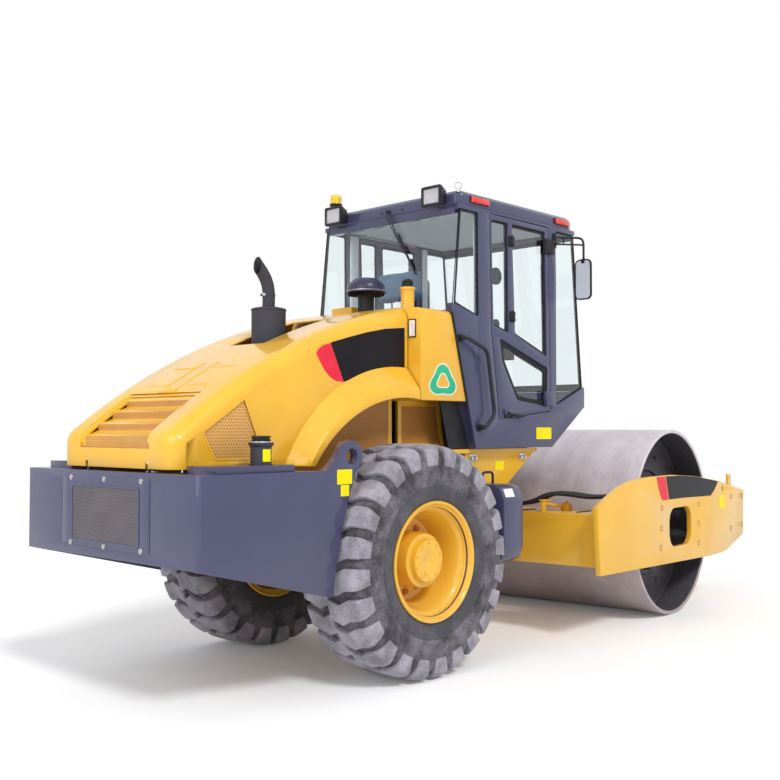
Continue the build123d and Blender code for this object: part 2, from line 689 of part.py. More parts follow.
def door(sign):
    y = span(sign, CAB_HALF - CAB_WALL, CAB_HALF)
    leaf = side_panel(shrink(DOORWAY, DOOR_GAP), *y)
    for hole in (W_REAR, W_MAIN, W_LOW):
        leaf -= side_panel(outline(hole, 16), y[0] - 1, y[1] + 1)
    hx, hy = DOOR_HINGE
    for z in DOOR_HINGE_Z:
        knuckle = rod_z(hx, sign * hy, z - 40, z + 40, 9)
        knuckle += box(hx - 100, hx, *span(sign, CAB_HALF + 6, CAB_HALF + 20), z - 30, z + 30)
        knuckle += box(hx - 100, hx - 45, *span(sign, CAB_HALF, CAB_HALF + 8), z - 30, z + 30)
        leaf += knuckle - rod_z(hx, sign * hy, z - 41, z + 41, HINGE_PIN_R + RUN_FIT)
    leaf += box(1085, 1175, *span(sign, CAB_HALF, CAB_HALF + 18), 1632, 1668)
    return leaf


def door_glass(sign):
    y = CAB_HALF - 14
    return [side_panel(outline(hole, 16), *span(sign, y - GLASS_T, y))
            for hole in (W_REAR, W_MAIN, W_LOW)]


SEAT_Y = 120.0


def seat():
    y = SEAT_Y
    base = box(930, 1250, y - 170, y + 170, CAB_FLOOR + 30, 1780)
    cushion = box(900, 1360, y - 250, y + 250, 1780, 1900)
    back = side_panel(outline([(880, 1860), (960, 1880), (900, 2440), (830, 2440)]), y - 240, y + 240)
    head = side_panel(outline([(835, 2450), (905, 2450), (895, 2690), (840, 2690)]), y - 150, y + 150)
    post = box(850, 885, y - 60, y + 60, 2430, 2460)
    return base + cushion + back + head + post


def console():
    y = SEAT_Y
    column = side_panel(outline([(1600, 1426), (1680, 1426), (1640, 2010), (1560, 1990)]), y - 90, y + 90)
    pod = box(1560, 1700, y - 200, y + 200, 1960, 2060)
    ring = revolve(Plane.XZ * (Pos(190, 0) * RegularPolygon(16, 6)), Axis.Z)
    wheel = Pos(1540, y, 2120) * Rot(0, -28, 0) * ring
    spoke = Pos(1540, y, 2120) * Rot(0, -28, 0) * (Box(40, 380, 16) + Box(380, 40, 16)
                                                    + Cylinder(45, 30))
    stem = Pos(1575, y, 2075) * Rot(0, -28, 0) * Cylinder(22, 110)
    return column + pod + wheel + spoke + stem


# ---------------------------------------------------------------- lamps, beacon, mirrors, rails
LAMP = (176.0, 140.0, 110.0)      # width, height, depth
LAMP_Z = ROOF_Z + 60.0
REAR_LAMP = (505.0, 487.0)        # x of the open face, y
FRONT_LAMP = (2165.0, 400.0)


def lamp_body(x, y, z, facing):
    """Flared housing whose open face stands at x and looks backwards (-1) or forwards (1)."""
    w, h, d = LAMP
    face = Plane((x, y, z), x_dir=(0, 1, 0), z_dir=(facing, 0, 0))
    back = Plane((x - facing * d, y, z), x_dir=(0, 1, 0), z_dir=(facing, 0, 0))
    body = loft([back * Rectangle(w * .7, h * .7), face * Rectangle(w, h)], ruled=True)
    return body - extrude(face * Rectangle(w - 18, h - 18), -14)


def work_lamps():
    z, top = LAMP_Z, ROOF_TOP + 12
    rear_x, rear_y = REAR_LAMP
    front_x, front_y = FRONT_LAMP
    parts = []
    for sign in (-1, 1):
        y = sign * rear_y
        bracket = box(600, 660, y - 20, y + 20, ROOF_TOP, top)
        bracket += box(578, 600, y - 20, y + 20, z - 30, top)
        parts.append(lamp_body(rear_x, y, z, -1) + bracket - cab_roof_block())
        y = sign * front_y
        foot = box(1990, 2075, y - 20, y + 20, ROOF_TOP, top)
        foot += box(2060, 2075, y - 20, y + 20, z - 30, top)
        parts.append(lamp_body(front_x, y, z, 1) + foot - cab_roof_block())
    return parts


def cab_roof_block():
    return box(598, 2058, -CAB_HALF, CAB_HALF, ROOF_Z - 70, ROOF_TOP)


MARKER_X = ((712.0, 912.0), (1733.0, 1913.0))


def marker_lamps():
    parts = []
    for x0, x1 in MARKER_X:
        for sign in (-1, 1):
            y = span(sign, CAB_HALF, CAB_HALF + 26)
            parts.append(box(x0, x1, *y, ROOF_Z + 20, ROOF_Z + 66))
    return parts


def beacon():
    """Small flashing lamp on a stem at the roof's left rear corner."""
    x, y = 650.0, CAB_HALF - 65
    foot = rod_z(x, y, ROOF_TOP, ROOF_TOP + 8, 40) + rod_z(x, y, ROOF_TOP, ROOF_TOP + 80, 16)
    foot += rod_z(x, y, ROOF_TOP + 70, ROOF_TOP + 88, 50)
    dome = rod_z(x, y, ROOF_TOP + 88, ROOF_TOP + 165, 44)
    dome = fillet(dome.edges().group_by(Axis.Z)[-1], 24)
    return foot + dome


MIRROR_X = 1905.0
MIRROR_Y = 815.0
MIRROR_SIZE = (146.0, 310.0)      # width, height
MIRROR_LOW = 2512.0
ARM_Z = (2985.0, 2932.0)          # the arm's two tubes


def mirrors():
    def one(sign):
        y, half, x = sign * MIRROR_Y, MIRROR_SIZE[0] / 2, MIRROR_X
        low, high = MIRROR_LOW, MIRROR_LOW + MIRROR_SIZE[1]
        head = end_panel(outline([(y - half, low), (y + half, low), (y + half, high),
                                  (y - half, high)], 50), x - 14, x + 14)
        root = (1726, sign * (CAB_HALF + 10))
        upper, lower = ARM_Z
        arm = tube([(*root, upper), (x, y, upper), (x, y, high - 10)], 9, 50)
        arm += tube([(*root, lower), (x, y, lower)], 8, 10)
        pad = box(root[0] - 12, root[0] + 12, *span(sign, CAB_HALF, CAB_HALF + 12), lower - 30,
                  upper + 30)
        return head + arm + pad
    return sides(one)


RAIL_OUT = 62.0                   # the rail stands off the cab's side
RAIL = [(600, 2148), (824, 2074), (905, 1627), (800, 1540)]


def grab_rails():
    def one(sign):
        y = sign * (CAB_HALF + RAIL_OUT)
        foot = sign * (CAB_HALF - 2)
        bends = [(x, y, z) for x, z in RAIL]
        (tx, tz), (lx, lz) = RAIL[0], RAIL[-1]
        rail = tube([(tx, foot, tz), *bends, (lx, foot, lz)], 14, 44)
        return rail - box(500, 1000, *span(sign, CAB_HALF - 60, CAB_HALF), 1400, 2400)
    return sides(one)


# ---------------------------------------------------------------- hitch and steering cylinders
SHAFT_R = 80.0
CLEVIS_GAP = 32.0


def hitch_yoke():
    (b0, b1), (t0, t1) = EAR_Z
    block = box(HITCH_X - 70, HITCH_X + 85, -95, 95, b1 + CLEAR, t0 - CLEAR)
    block += rod_z(HITCH_X, 0, b0 - 12, t1 + 12, PIN_R)
    block += rod_x(HITCH_X + 85, HITCH_X + 150, 0, HITCH_Z, 120)
    block += rod_x(HITCH_X + 150, HITCH_X + 420, 0, HITCH_Z, SHAFT_R)
    fx, fy = CYL_FRONT
    for sign in (-1, 1):
        for z in (CYL_Z - CLEVIS_GAP - 20, CYL_Z + CLEVIS_GAP):
            arm = box(fx - 36, fx + 36, *span(sign, 90, fy), z, z + 20)
            block += arm + rod_z(fx, sign * fy, z, z + 20, 36)
    return block


BARREL_R = 46.0
BARREL_LEN = 400.0
ROD_R = 24.0
EYE_R = 34.0


def cylinder_at(sign):
    """Rear pin, length and heading of a steering cylinder with the machine as parked."""
    rx, ry = CYL_REAR[0], sign * CYL_REAR[1]
    a = radians(REST_STEER)
    dx, dy = CYL_FRONT[0] - HITCH_X, sign * CYL_FRONT[1]
    fx = HITCH_X + dx * cos(a) - dy * sin(a)
    fy = dx * sin(a) + dy * cos(a)
    return rx, ry, hypot(fx - rx, fy - ry), degrees(atan2(fy - ry, fx - rx))


def on_cylinder(shape, sign):
    rx, ry, _, heading = cylinder_at(sign)
    return Pos(rx, ry, CYL_Z) * Rot(0, 0, heading) * shape


def barrel(sign):
    eye = rod_z(0, 0, -23, 23, 40) + rod_z(0, 0, -60, 60, 20)
    body = rod_x(50, 45 + BARREL_LEN, 0, 0, BARREL_R) + box(20, 60, -22, 22, -20, 20)
    body -= rod_x(60, 46 + BARREL_LEN, 0, 0, BARREL_R - 9)
    gland = rod_x(BARREL_LEN, 45 + BARREL_LEN, 0, 0, BARREL_R + 6)
    gland -= rod_x(BARREL_LEN - 1, 46 + BARREL_LEN, 0, 0, ROD_R + RUN_FIT)
    return on_cylinder(eye + body + gland, sign)


def piston_rod(sign):
    length = cylinder_at(sign)[2]
    bar = rod_x(length - 480, length - 20, 0, 0, ROD_R)
    piston = rod_x(length - 480, length - 440, 0, 0, BARREL_R - 9 - RUN_FIT)
    eye = rod_z(length, 0, -26, 26, EYE_R)
    return on_cylinder(bar + piston + eye, sign)


# ---------------------------------------------------------------- drum half
PLATE_IN = PLATE_Y - PLATE_T
BEAM_X = (HITCH_X + 200.0, WHEELBASE - DRUM_R - 283.5)
BEAM_Z = (530.0, 910.0)
BEAM_T = 20.0
FRONT_BEAM = (WHEELBASE + 1185.0, WHEELBASE + 1385.0, 560.0, 900.0)
SLOT = (WHEELBASE - 291.0, WHEELBASE + 163.0, 576.0, 889.0)
TIE_HOLE = (WHEELBASE + 890.0, 996.0, 24.0)
TIE_LUG_X = WHEELBASE + 1105.0
PLATE_REAR = [(131, 484), (94, 969), (267, 1033), (457, 1099)]         # x from the hitch
PLATE_FRONT = [(-990, 1138), (-680, 1157), (-235, 1158), (250, 1131), (780, 1072), (1438, 960),
               (1408, 555), (957, 437), (623, 428), (-983, 471)]       # x from the drum's axle
PLATE = ([(HITCH_X + x, z) for x, z in PLATE_REAR]
         + [(WHEELBASE + x, z) for x, z in PLATE_FRONT])


def side_plates():
    """The drum frame's two thick side plates, with the slot at the drum's hub and a tie-down
    hole and lug near the front."""
    x0, x1, z0, z1 = SLOT
    opening = outline([(x0, z0), (x1, z0), (x1, z1), (x0, z1)], 110)
    tx, tz, tr = TIE_HOLE
    x = TIE_LUG_X
    lug = outline([(x - 40, 1000), (x - 46, 1118), (x + 24, 1118), (x + 36, 1000)])

    def one(sign):
        y = span(sign, PLATE_IN, PLATE_Y)
        plate = side_panel(outline(PLATE), *y)
        plate -= side_panel(opening, y[0] - 1, y[1] + 1)
        plate += side_panel(lug, *span(sign, PLATE_Y - 30, PLATE_Y - 8))
        return plate - rod_y(tx, y[0] - 1, y[1] + 1, tz, tr)
    return sides(one)


def front_frame():
    """Rear and front cross beams between the side plates, each a welded box."""
    beams = []
    for x0, x1, z0, z1, t in ((*BEAM_X, *BEAM_Z, BEAM_T), (*FRONT_BEAM, BEAM_T)):
        tube_box = box(x0, x1, -PLATE_IN, PLATE_IN, z0, z1)
        beams.append(tube_box - box(x0 + t, x1 - t, -PLATE_IN - 1, PLATE_IN + 1, z0 + t, z1 - t))
    reach = 200.0
    rear = beams[0] + rod_x(BEAM_X[0], BEAM_X[0] + reach, 0, HITCH_Z, 125)
    rear -= rod_x(BEAM_X[0] - 1, BEAM_X[0] + reach + 1, 0, HITCH_Z, SHAFT_R + RUN_FIT)
    return [rear, beams[1]]


DRUM_T = 28.0
DRUM_WEB = 250.0
HUB_R = 150.0


def drum():
    half = DRUM_WIDTH / 2
    web0 = half - DRUM_WEB
    inner = DRUM_R - DRUM_T
    shell = spun_y([(-half, DRUM_R), (half, DRUM_R), (half, inner), (-half, inner)])
    for sign in (-1, 1):
        disc = spun_y([(sign * web0, 70), (sign * web0, inner), (sign * (web0 - 25), inner),
                       (sign * (web0 - 25), 70)])
        hub = spun_y([(sign * (web0 - 25), 70), (sign * (web0 - 25), HUB_R),
                      (sign * (web0 + 70), HUB_R), (sign * (web0 + 70), 70)])
        shell += disc + hub
    return Pos(WHEELBASE, 0, DRUM_R) * shell


def drum_carriers():
    """Rubber-mounted carrier plate between each side plate and the drum's hub."""
    half = DRUM_WIDTH / 2
    web0 = half - DRUM_WEB

    def one(sign):
        y_hub = web0 + 70 + CLEAR
        disc = spun_y([(sign * y_hub, 0), (sign * y_hub, 330), (sign * (y_hub + 25), 330),
                       (sign * (y_hub + 25), 0)])
        axle = rod_y(0, *span(sign, web0 - 60, y_hub), 0, 70 - RUN_FIT)
        carrier = disc + axle
        for k in range(6):
            a = 2 * pi * (k + .5) / 6
            carrier += rod_y(265 * cos(a), *span(sign, y_hub + 25, PLATE_IN), 265 * sin(a), 55)
        return Pos(WHEELBASE, 0, DRUM_R) * carrier
    return sides(one)


SCRAPER_GAP = 75.0


def scrapers():
    """Rear and front scraper: a bar across the drum, its blade and two arms from the beam."""
    parts = []
    for sign, beam in ((-1, BEAM_X[1]), (1, FRONT_BEAM[0])):
        x = WHEELBASE + sign * (DRUM_R + SCRAPER_GAP)
        bar = box(*span_x(x, x + sign * 20), -1040, 1040, 560, 700)
        bar += box(*span_x(x - sign * 45, x + sign * 10), -1040, 1040, 580, 592)
        for y in (-600, 600):
            bar += box(*span_x(x + sign * 10, beam), y - 30, y + 30, 610, 670)
        parts.append(bar)
    return parts


def span_x(a, b):
    return min(a, b), max(a, b)


HOSE_R = 17.0
HOSES = 3
HOSE_PITCH = 48.0


def hoses():
    """Hydraulic hoses laid over the rear cross beam, from the hitch to the drum's right end."""
    z = BEAM_Z[1] + HOSE_R
    parts = []
    for k in range(HOSES):
        x = HITCH_X + 250 + HOSE_PITCH * k
        end = (x + 480, -PLATE_IN + 8, z + 80)
        parts.append(tube([(x, 80, z), (x, -520, z + 40), (x + 40, -650, z + 120),
                           (x + 210, -880, z + 88), (x + 430, -1000, z + 92), end], HOSE_R, 70))
    return parts


# ---------------------------------------------------------------- assembly
def parked(shape):
    """A straight-ahead drum-half shape at its parked steering angle."""
    return Pos(HITCH_X, 0, 0) * Rot(0, 0, REST_STEER) * Pos(-HITCH_X, 0, 0) * shape


def listed(shape):
    return list(shape) if isinstance(shape, (list, tuple)) else [shape]


def nodes():
    table = {
        "rear_frame": rear_frame(),
        "rear_axle": rear_axle(),
        "counterweight": counterweight(),
        "rear_screen": rear_screen(),
        "tail_sides": tail_sides(),
        "filler_necks": filler_necks(),
        "engine_block": engine_block(),
        "exhaust": exhaust(),
        "pre_cleaner": pre_cleaner(),
        "tank_box": tank_box(),
        "side_screens": side_screens(),
        "step_boxes": step_boxes(),
        "cab_mounts": cab_mounts(),
        "cab_shell": cab_shell(),
        "cab_frame": cab_frame(),
        "cab_roof": cab_roof(),
        "cab_glass": cab_glass(),
        "seat": seat(),
        "console": console(),
        "work_lamps": work_lamps(),
        "marker_lamps": marker_lamps(),
        "beacon": beacon(),
        "mirrors": mirrors(),
        "grab_rails": grab_rails(),
        "hood": hood(),
        "hood_screens": hood_screens(),
    }
    names = {-1: "right", 1: "left"}
    one_tyre, one_rim = tyre(), rim()
    for sign, side in names.items():
        table[f"door_{side}"] = door(sign)
        table[f"door_glass_{side}"] = door_glass(sign)
        table[f"barrel_{side}"] = barrel(sign)
        table[f"rod_{side}"] = piston_rod(sign)
        table[f"rim_{side}"] = on_axle(one_rim, sign)
        table[f"tyre_{side}"] = on_axle(one_tyre, sign)
    for name, shape in (("hitch_yoke", hitch_yoke()), ("front_frame", front_frame()),
                        ("side_plates", side_plates()), ("drum", drum()), ("drum_carriers", drum_carriers()),
                        ("scrapers", scrapers()), ("hoses", hoses())):
        table[name] = [parked(s) for s in listed(shape)]
    return table


def solids_of(shape):
    return [solid for item in listed(shape) for solid in item.solids()]


MACHINE = {name: Compound(children=solids_of(shape)) for name, shape in nodes().items()}
WHOLE = Compound(children=[solid for part in MACHINE.values() for solid in part.solids()]).bounding_box()
SHIFT = (-(WHOLE.min.X + WHOLE.max.X) / 2, -(WHOLE.min.Y + WHOLE.max.Y) / 2, -WHOLE.min.Z)

os.makedirs("parts", exist_ok=True)
for part_name, part in MACHINE.items():
    export_step(Pos(*SHIFT) * Compound(children=part.solids()), f"parts/{part_name}.step")
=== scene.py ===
"""Looks of the articulated single-drum road roller: finishes, screens, lamps, decals, light.

Metres. Pieces are drawn in the vehicle's own frame (X forward, Y left, Z up, origin on the
ground under the rear axle, both halves in line) and settle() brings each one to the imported
model's frame, turned about the hitch if it belongs to the drum half.
"""
import json
from contextlib import contextmanager
from math import atan2, cos, pi, radians, sin, sqrt

import bmesh
import bpy
from mathutils import Matrix, Vector

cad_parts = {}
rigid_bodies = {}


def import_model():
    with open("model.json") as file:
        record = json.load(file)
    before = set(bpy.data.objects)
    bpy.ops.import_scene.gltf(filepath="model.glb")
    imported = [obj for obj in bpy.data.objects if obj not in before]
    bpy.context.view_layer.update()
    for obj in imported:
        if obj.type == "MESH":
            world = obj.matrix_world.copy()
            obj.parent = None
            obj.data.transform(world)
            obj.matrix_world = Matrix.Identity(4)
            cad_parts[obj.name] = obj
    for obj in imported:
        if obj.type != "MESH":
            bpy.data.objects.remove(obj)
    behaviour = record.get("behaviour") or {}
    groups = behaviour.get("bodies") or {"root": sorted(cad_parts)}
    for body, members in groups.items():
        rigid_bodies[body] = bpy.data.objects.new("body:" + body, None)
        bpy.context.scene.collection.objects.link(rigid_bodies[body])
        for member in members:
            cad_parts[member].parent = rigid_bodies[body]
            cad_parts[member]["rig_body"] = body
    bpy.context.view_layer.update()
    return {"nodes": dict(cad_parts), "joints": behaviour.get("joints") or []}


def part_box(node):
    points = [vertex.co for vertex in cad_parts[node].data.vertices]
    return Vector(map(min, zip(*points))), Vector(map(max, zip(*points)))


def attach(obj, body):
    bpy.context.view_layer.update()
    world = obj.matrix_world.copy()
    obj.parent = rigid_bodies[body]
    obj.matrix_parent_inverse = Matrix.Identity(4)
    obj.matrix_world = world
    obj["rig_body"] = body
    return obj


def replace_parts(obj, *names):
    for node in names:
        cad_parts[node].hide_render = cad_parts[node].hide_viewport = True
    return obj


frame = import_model()

# ---------------------------------------------------------------- places taken from the frame
ORIGIN = sum(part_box("rear_axle"), Vector()) / 2
ORIGIN.z = 0
STEER = next(joint for joint in frame["joints"] if joint["name"] == "steer")
HITCH = Vector(STEER["pos_m"]) - ORIGIN
PARKED_TURN = radians(-sum(STEER["range_deg"]) / 2)      # as it stands, left of straight ahead
FRONT_BODIES = ("hitch", "front_unit", "drum")
SIDES = {"right": -1, "left": 1}
UP, DOWN = (0, 0, 1), (0, 0, -1)
AHEAD, BACK = (1, 0, 0), (-1, 0, 0)
MERGE = 0.00005                                          # vertices nearer than this are one


# ---------------------------------------------------------------- shaping helpers
def select_none():
    bpy.ops.object.select_all(action="DESELECT")


def select_only(piece):
    select_none()
    piece.select_set(True)
    bpy.context.view_layer.objects.active = piece


def select_every():
    bpy.ops.mesh.select_all(action="SELECT")


def named(name):
    piece = bpy.context.object
    piece.name = piece.data.name = name
    return piece


def placed(name):
    """Name the piece just added and put its place and turn into its mesh."""
    bpy.ops.object.transform_apply(location=True, rotation=True, scale=True)
    return named(name)


@contextmanager
def shaping(piece, kind="FACE"):
    """Edit mode on one piece, with nothing selected at the start."""
    select_only(piece)
    bpy.ops.object.mode_set(mode="EDIT")
    bpy.ops.mesh.select_mode(type=kind)
    bpy.ops.mesh.select_all(action="DESELECT")
    yield bmesh.from_edit_mesh(piece.data)
    bpy.ops.object.mode_set(mode="OBJECT")


def pick(mesh, elements, test):
    """Select the faces, edges or vertices that pass a test."""
    for element in elements:
        element.select_set(test(element))
    mesh.select_flush_mode()


def facing(axis, least=0.9):
    direction = Vector(axis)
    return lambda face: face.normal.dot(direction) > least


def around(count, shift=0):
    """Evenly spaced angles of a full turn, set on by a share of their step."""
    return [2 * pi * (k + shift) / count for k in range(count)]


def about(centre, angle, axis):
    """The turn about a point."""
    there = Matrix.Translation(Vector(centre))
    return there @ Matrix.Rotation(angle, 4, axis) @ there.inverted()


def turned(piece, angle, axis, centre=(0, 0, 0)):
    """The piece's own mesh turned about a point."""
    piece.data.transform(about(centre, angle, axis))
    return piece


def moved(piece, shift):
    piece.data.transform(Matrix.Translation(shift))
    return piece


def applied(piece, kind, **settings):
    """A modifier with its settings, applied to the mesh."""
    select_only(piece)
    modifier = piece.modifiers.new(kind.lower(), kind)
    for key, value in settings.items():
        setattr(modifier, key, value)
    bpy.ops.object.modifier_apply(modifier=modifier.name)
    return piece


def block(name, one, other):
    """A box between two opposite corners, to be shaped further."""
    select_none()
    low = Vector([min(pair) for pair in zip(one, other)])
    high = Vector([max(pair) for pair in zip(one, other)])
    bpy.ops.mesh.primitive_cube_add(size=1, location=(low + high) / 2, scale=high - low)
    return placed(name)


def roller(name, start, end, radius, sides=32):
    """A cylinder between two points, to be shaped further."""
    select_none()
    start, end = Vector(start), Vector(end)
    along = end - start
    bpy.ops.mesh.primitive_cylinder_add(
        vertices=sides, radius=radius, depth=along.length, location=(start + end) / 2,
        rotation=along.to_track_quat("Z", "Y").to_euler())
    return placed(name)


def torus(name, major, minor, segments, **place):
    """A ring of round bar; segments are counted round it and round the bar."""
    select_none()
    bpy.ops.mesh.primitive_torus_add(major_radius=major, minor_radius=minor,
                                     major_segments=segments[0], minor_segments=segments[1],
                                     **place)
    return placed(name)


def loop_of(name, points, fill=False):
    """A closed ring of vertices through the given points."""
    select_none()
    bpy.ops.mesh.primitive_circle_add(vertices=len(points), radius=1,
                                      fill_type="NGON" if fill else "NOTHING")
    piece = named(name)
    for vertex, point in zip(piece.data.vertices, points):
        vertex.co = point
    return piece


def tidy_faces(piece):
    with shaping(piece, "VERT"):
        select_every()
        bpy.ops.mesh.remove_doubles(threshold=MERGE)
        bpy.ops.mesh.normals_make_consistent(inside=False)
    return piece


def pushed(value):
    """Extrude what is selected by a vector."""
    bpy.ops.mesh.extrude_region_move(TRANSFORM_OT_translate={"value": value})


def raised(piece, axis, rim, value):
    """On the face that looks along an axis, a field inside a rim, pressed up or in by a vector."""
    with shaping(piece) as mesh:
        pick(mesh, mesh.faces, facing(axis))
        bpy.ops.mesh.inset(thickness=rim, depth=0)
        pushed(value)
    return piece


def plate(name, points, push):
    """A flat outline pushed out by a vector."""
    piece = loop_of(name, points, fill=True)
    with shaping(piece):
        select_every()
        pushed(push)
    return tidy_faces(piece)


def spun(name, profile, centre=(0, 0, 0), axis=(0, 1, 0), steps=96):
    """A closed (along, radius) outline spun about an axis through centre."""
    axis, centre = Vector(axis), Vector(centre)
    outward = Vector(UP) if abs(axis.z) < 0.5 else Vector(AHEAD)
    piece = loop_of(name, [centre + axis * a + outward * r for a, r in profile])
    with shaping(piece, "VERT"):
        select_every()
        bpy.ops.mesh.spin(steps=steps, angle=2 * pi, center=centre, axis=axis)
    return tidy_faces(piece)


def rod_along(name, points, radius, sides, kind="POLY", **settings):
    """A round bar or hose through points, turned to a closed mesh."""
    curve = bpy.data.curves.new(name, "CURVE")
    curve.dimensions = "3D"
    curve.bevel_depth = radius
    curve.bevel_resolution = max(sides // 4 - 1, 1)
    curve.use_fill_caps = True
    curve.resolution_u = 14
    spline = curve.splines.new(kind)
    spline.points.add(len(points) - 1)
    for place, point in zip(spline.points, points):
        place.co = (*point, 1)
    for key, value in settings.items():
        setattr(spline, key, value)
    piece = bpy.data.objects.new(name, curve)
    bpy.context.scene.collection.objects.link(piece)
    select_only(piece)
    bpy.ops.object.convert(target="MESH")
    return tidy_faces(bpy.context.object)


def tube(name, points, radius, bend=0, sides=16):
    """A round bar through points, with its corners bent to a radius."""
    return rod_along(name, rounded(points, bend) if bend else points, radius, sides)


def rounded(points, bend, steps=8):
    """Points with each inner corner replaced by an arc of the given radius."""
    points = [Vector(p) for p in points]
    route = [points[0]]
    for before, corner, after in zip(points, points[1:], points[2:]):
        a, b = (before - corner).normalized(), (after - corner).normalized()
        half = a.angle(b) / 2
        reach = min(bend / max(sin(half) / cos(half), 1e-6), (before - corner).length * 0.49,
                    (after - corner).length * 0.49)
        start, end = corner + a * reach, corner + b * reach
        for t in (k / steps for k in range(steps + 1)):
            route.append(start.lerp(corner, t).lerp(corner.lerp(end, t), t))
    return route + [points[-1]]


def bevelled(piece, width, angle=35, segments=2):
    """Rounded edges, as pressed or ground steel has."""
    return applied(piece, "BEVEL", width=width, segments=segments, limit_method="ANGLE",
                   angle_limit=radians(angle), harden_normals=False)


def smooth(piece, angle=32):
    select_only(piece)
    bpy.ops.object.shade_smooth_by_angle(angle=radians(angle))
    return piece


def copied(piece, name, shift):
    """One more of a piece, with its own mesh, moved by a matrix."""
    twin = piece.copy()
    twin.data = piece.data.copy()
    twin.name = twin.data.name = name
    bpy.context.scene.collection.objects.link(twin)
    twin.data.transform(shift)
    return twin


def neighbours(points):
    """Each corner of a closed outline between the one before and the one after."""
    points = [Vector(p) for p in points]
    return zip(points[-1:] + points[:-1], points, points[1:] + points[:1])


def ring_points(points, radius, steps=5):
    """A closed outline with every corner rounded."""
    route = []
    for corners in neighbours(points):
        route += rounded(corners, radius, steps)[1:-1]
    return route


def grown(points, by):
    """An outline moved out (or in, if negative) by a distance, corner by corner."""
    middle = sum((Vector(p) for p in points), Vector()) / len(points)
    route = []
    for before, corner, after in neighbours(points):
        a, b = (before - corner).normalized(), (after - corner).normalized()
        split = (a + b).normalized()
        reach = by / max(sin(a.angle(b) / 2), 0.2)
        route.append(corner + split * (-reach if split.dot(middle - corner) > 0 else reach))
    return route


def on_side(points, y):
    """(x, z) points on the upright plane at y."""
    return [(x, y, z) for x, z in points]


def bridged(pieces, name):
    """Closed rings of as many points each, joined and skinned from one to the next."""
    piece = joined(pieces, name)
    with shaping(piece, "EDGE"):
        select_every()
        bpy.ops.mesh.bridge_edge_loops()
    return piece


def lofted(name, sections):
    """A shell skinned over rings of as many points, with its last one closed."""
    shell = bridged([loop_of(name, points) for points in sections], name)
    return tidy_faces(joined([shell, loop_of(name, sections[-1], fill=True)], name))


def framed(name, outer, inner, push, finish_edge=0):
    """A flat frame between two closed outlines of as many points, pushed out by a vector."""
    piece = bridged([loop_of(name, outer), loop_of(name, inner)], name)
    with shaping(piece, "EDGE"):
        select_every()
        pushed(push)
    tidy_faces(piece)
    return bevelled(piece, finish_edge) if finish_edge else piece


def hex_bolt(name, centre, axis, across=0.03, head=0.014, washer=True):
    """A hexagon bolt head with its chamfer, on a washer, standing along an axis."""
    axis, centre = Vector(axis).normalized(), Vector(centre)
    foot = centre + axis * (0.003 if washer else 0)
    bolt = roller(name, foot, foot + axis * head, across / 2 / cos(pi / 6), sides=6)
    bevelled(bolt, across * 0.05, segments=1)
    if not washer:
        return bolt
    ring = roller(f"{name}_washer", centre - axis * 0.001, foot, across * 0.85, sides=20)
    return joined([bolt, bevelled(ring, 0.0008, segments=1)], name)


def joined(pieces, name):
    select_none()
    for piece in pieces:
        piece.select_set(True)
    bpy.context.view_layer.objects.active = pieces[0]
    if len(pieces) > 1:
        bpy.ops.object.join()
    return named(name)


def to_packed(body):
    """From the vehicle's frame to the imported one, turned about the hitch for the drum half."""
    move = Matrix.Translation(ORIGIN)
    return move @ about(HITCH, PARKED_TURN, "Z") if body in FRONT_BODIES else move


def settle(piece, finishes, body="rear_unit", slot=None, replaces=(), drawn=True):
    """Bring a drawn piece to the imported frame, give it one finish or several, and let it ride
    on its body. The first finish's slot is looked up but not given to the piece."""
    if drawn:
        piece.data.transform(to_packed(body))
    finishes = finishes if isinstance(finishes, tuple) else (finishes,)
    piece.data.materials.clear()
    for finish in finishes:
        piece.data.materials.append(finish)
    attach(piece, body)
    slot = slot or SLOT_OF.get(finishes[0])
    if replaces:
        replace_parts(piece, *replaces)
    return piece


def group(name, parts, angle, finish, body="rear_unit", replaces=()):
    """Parts joined to one piece, shaded smooth below an angle, and settled."""
    return settle(smooth(joined(parts, name), angle), finish, body, replaces=replaces)


def blank_label(name, side_y, low, high, body="rear_unit"):
    """A blank lemon label on an upright side, between two (x, z) corners."""
    (x0, z0), (x1, z1) = low, high
    corners = on_side([(x0, z0), (x1, z0), (x1, z1), (x0, z1)], side_y)
    push = (0, 0.0008 if side_y > 0 else -0.0008, 0)
    settle(plate(name, ring_points(corners, 0.006, 4), push), YELLOW_FILM, body)


# ---------------------------------------------------------------- materials
def linear(hex_colour):
    """An sRGB hex value as the linear colour that the sockets take."""
    channels = [int(hex_colour[i:i + 2], 16) / 255 for i in (1, 3, 5)]
    return tuple(c / 12.92 if c <= 0.04045 else ((c + 0.055) / 1.055) ** 2.4
                 for c in channels) + (1,)


def feed(tree, node, inputs):
    """Give a node's sockets their constants or their links."""
    for socket, value in inputs.items():
        if isinstance(value, bpy.types.NodeSocket):
            tree.links.new(value, node.inputs[socket])
        else:
            node.inputs[socket].default_value = value


def add(tree, kind, inputs=None, **settings):
    """A shader node with its settings, its constants and its links."""
    node = tree.nodes.new("ShaderNode" + kind)
    for key, value in settings.items():
        setattr(node, key, value)
    feed(tree, node, inputs or {})
    return node


def per_mm(size):
    """Texture scale, in repeats per metre, for a grain of a size in millimetres."""
    return 1000 / size


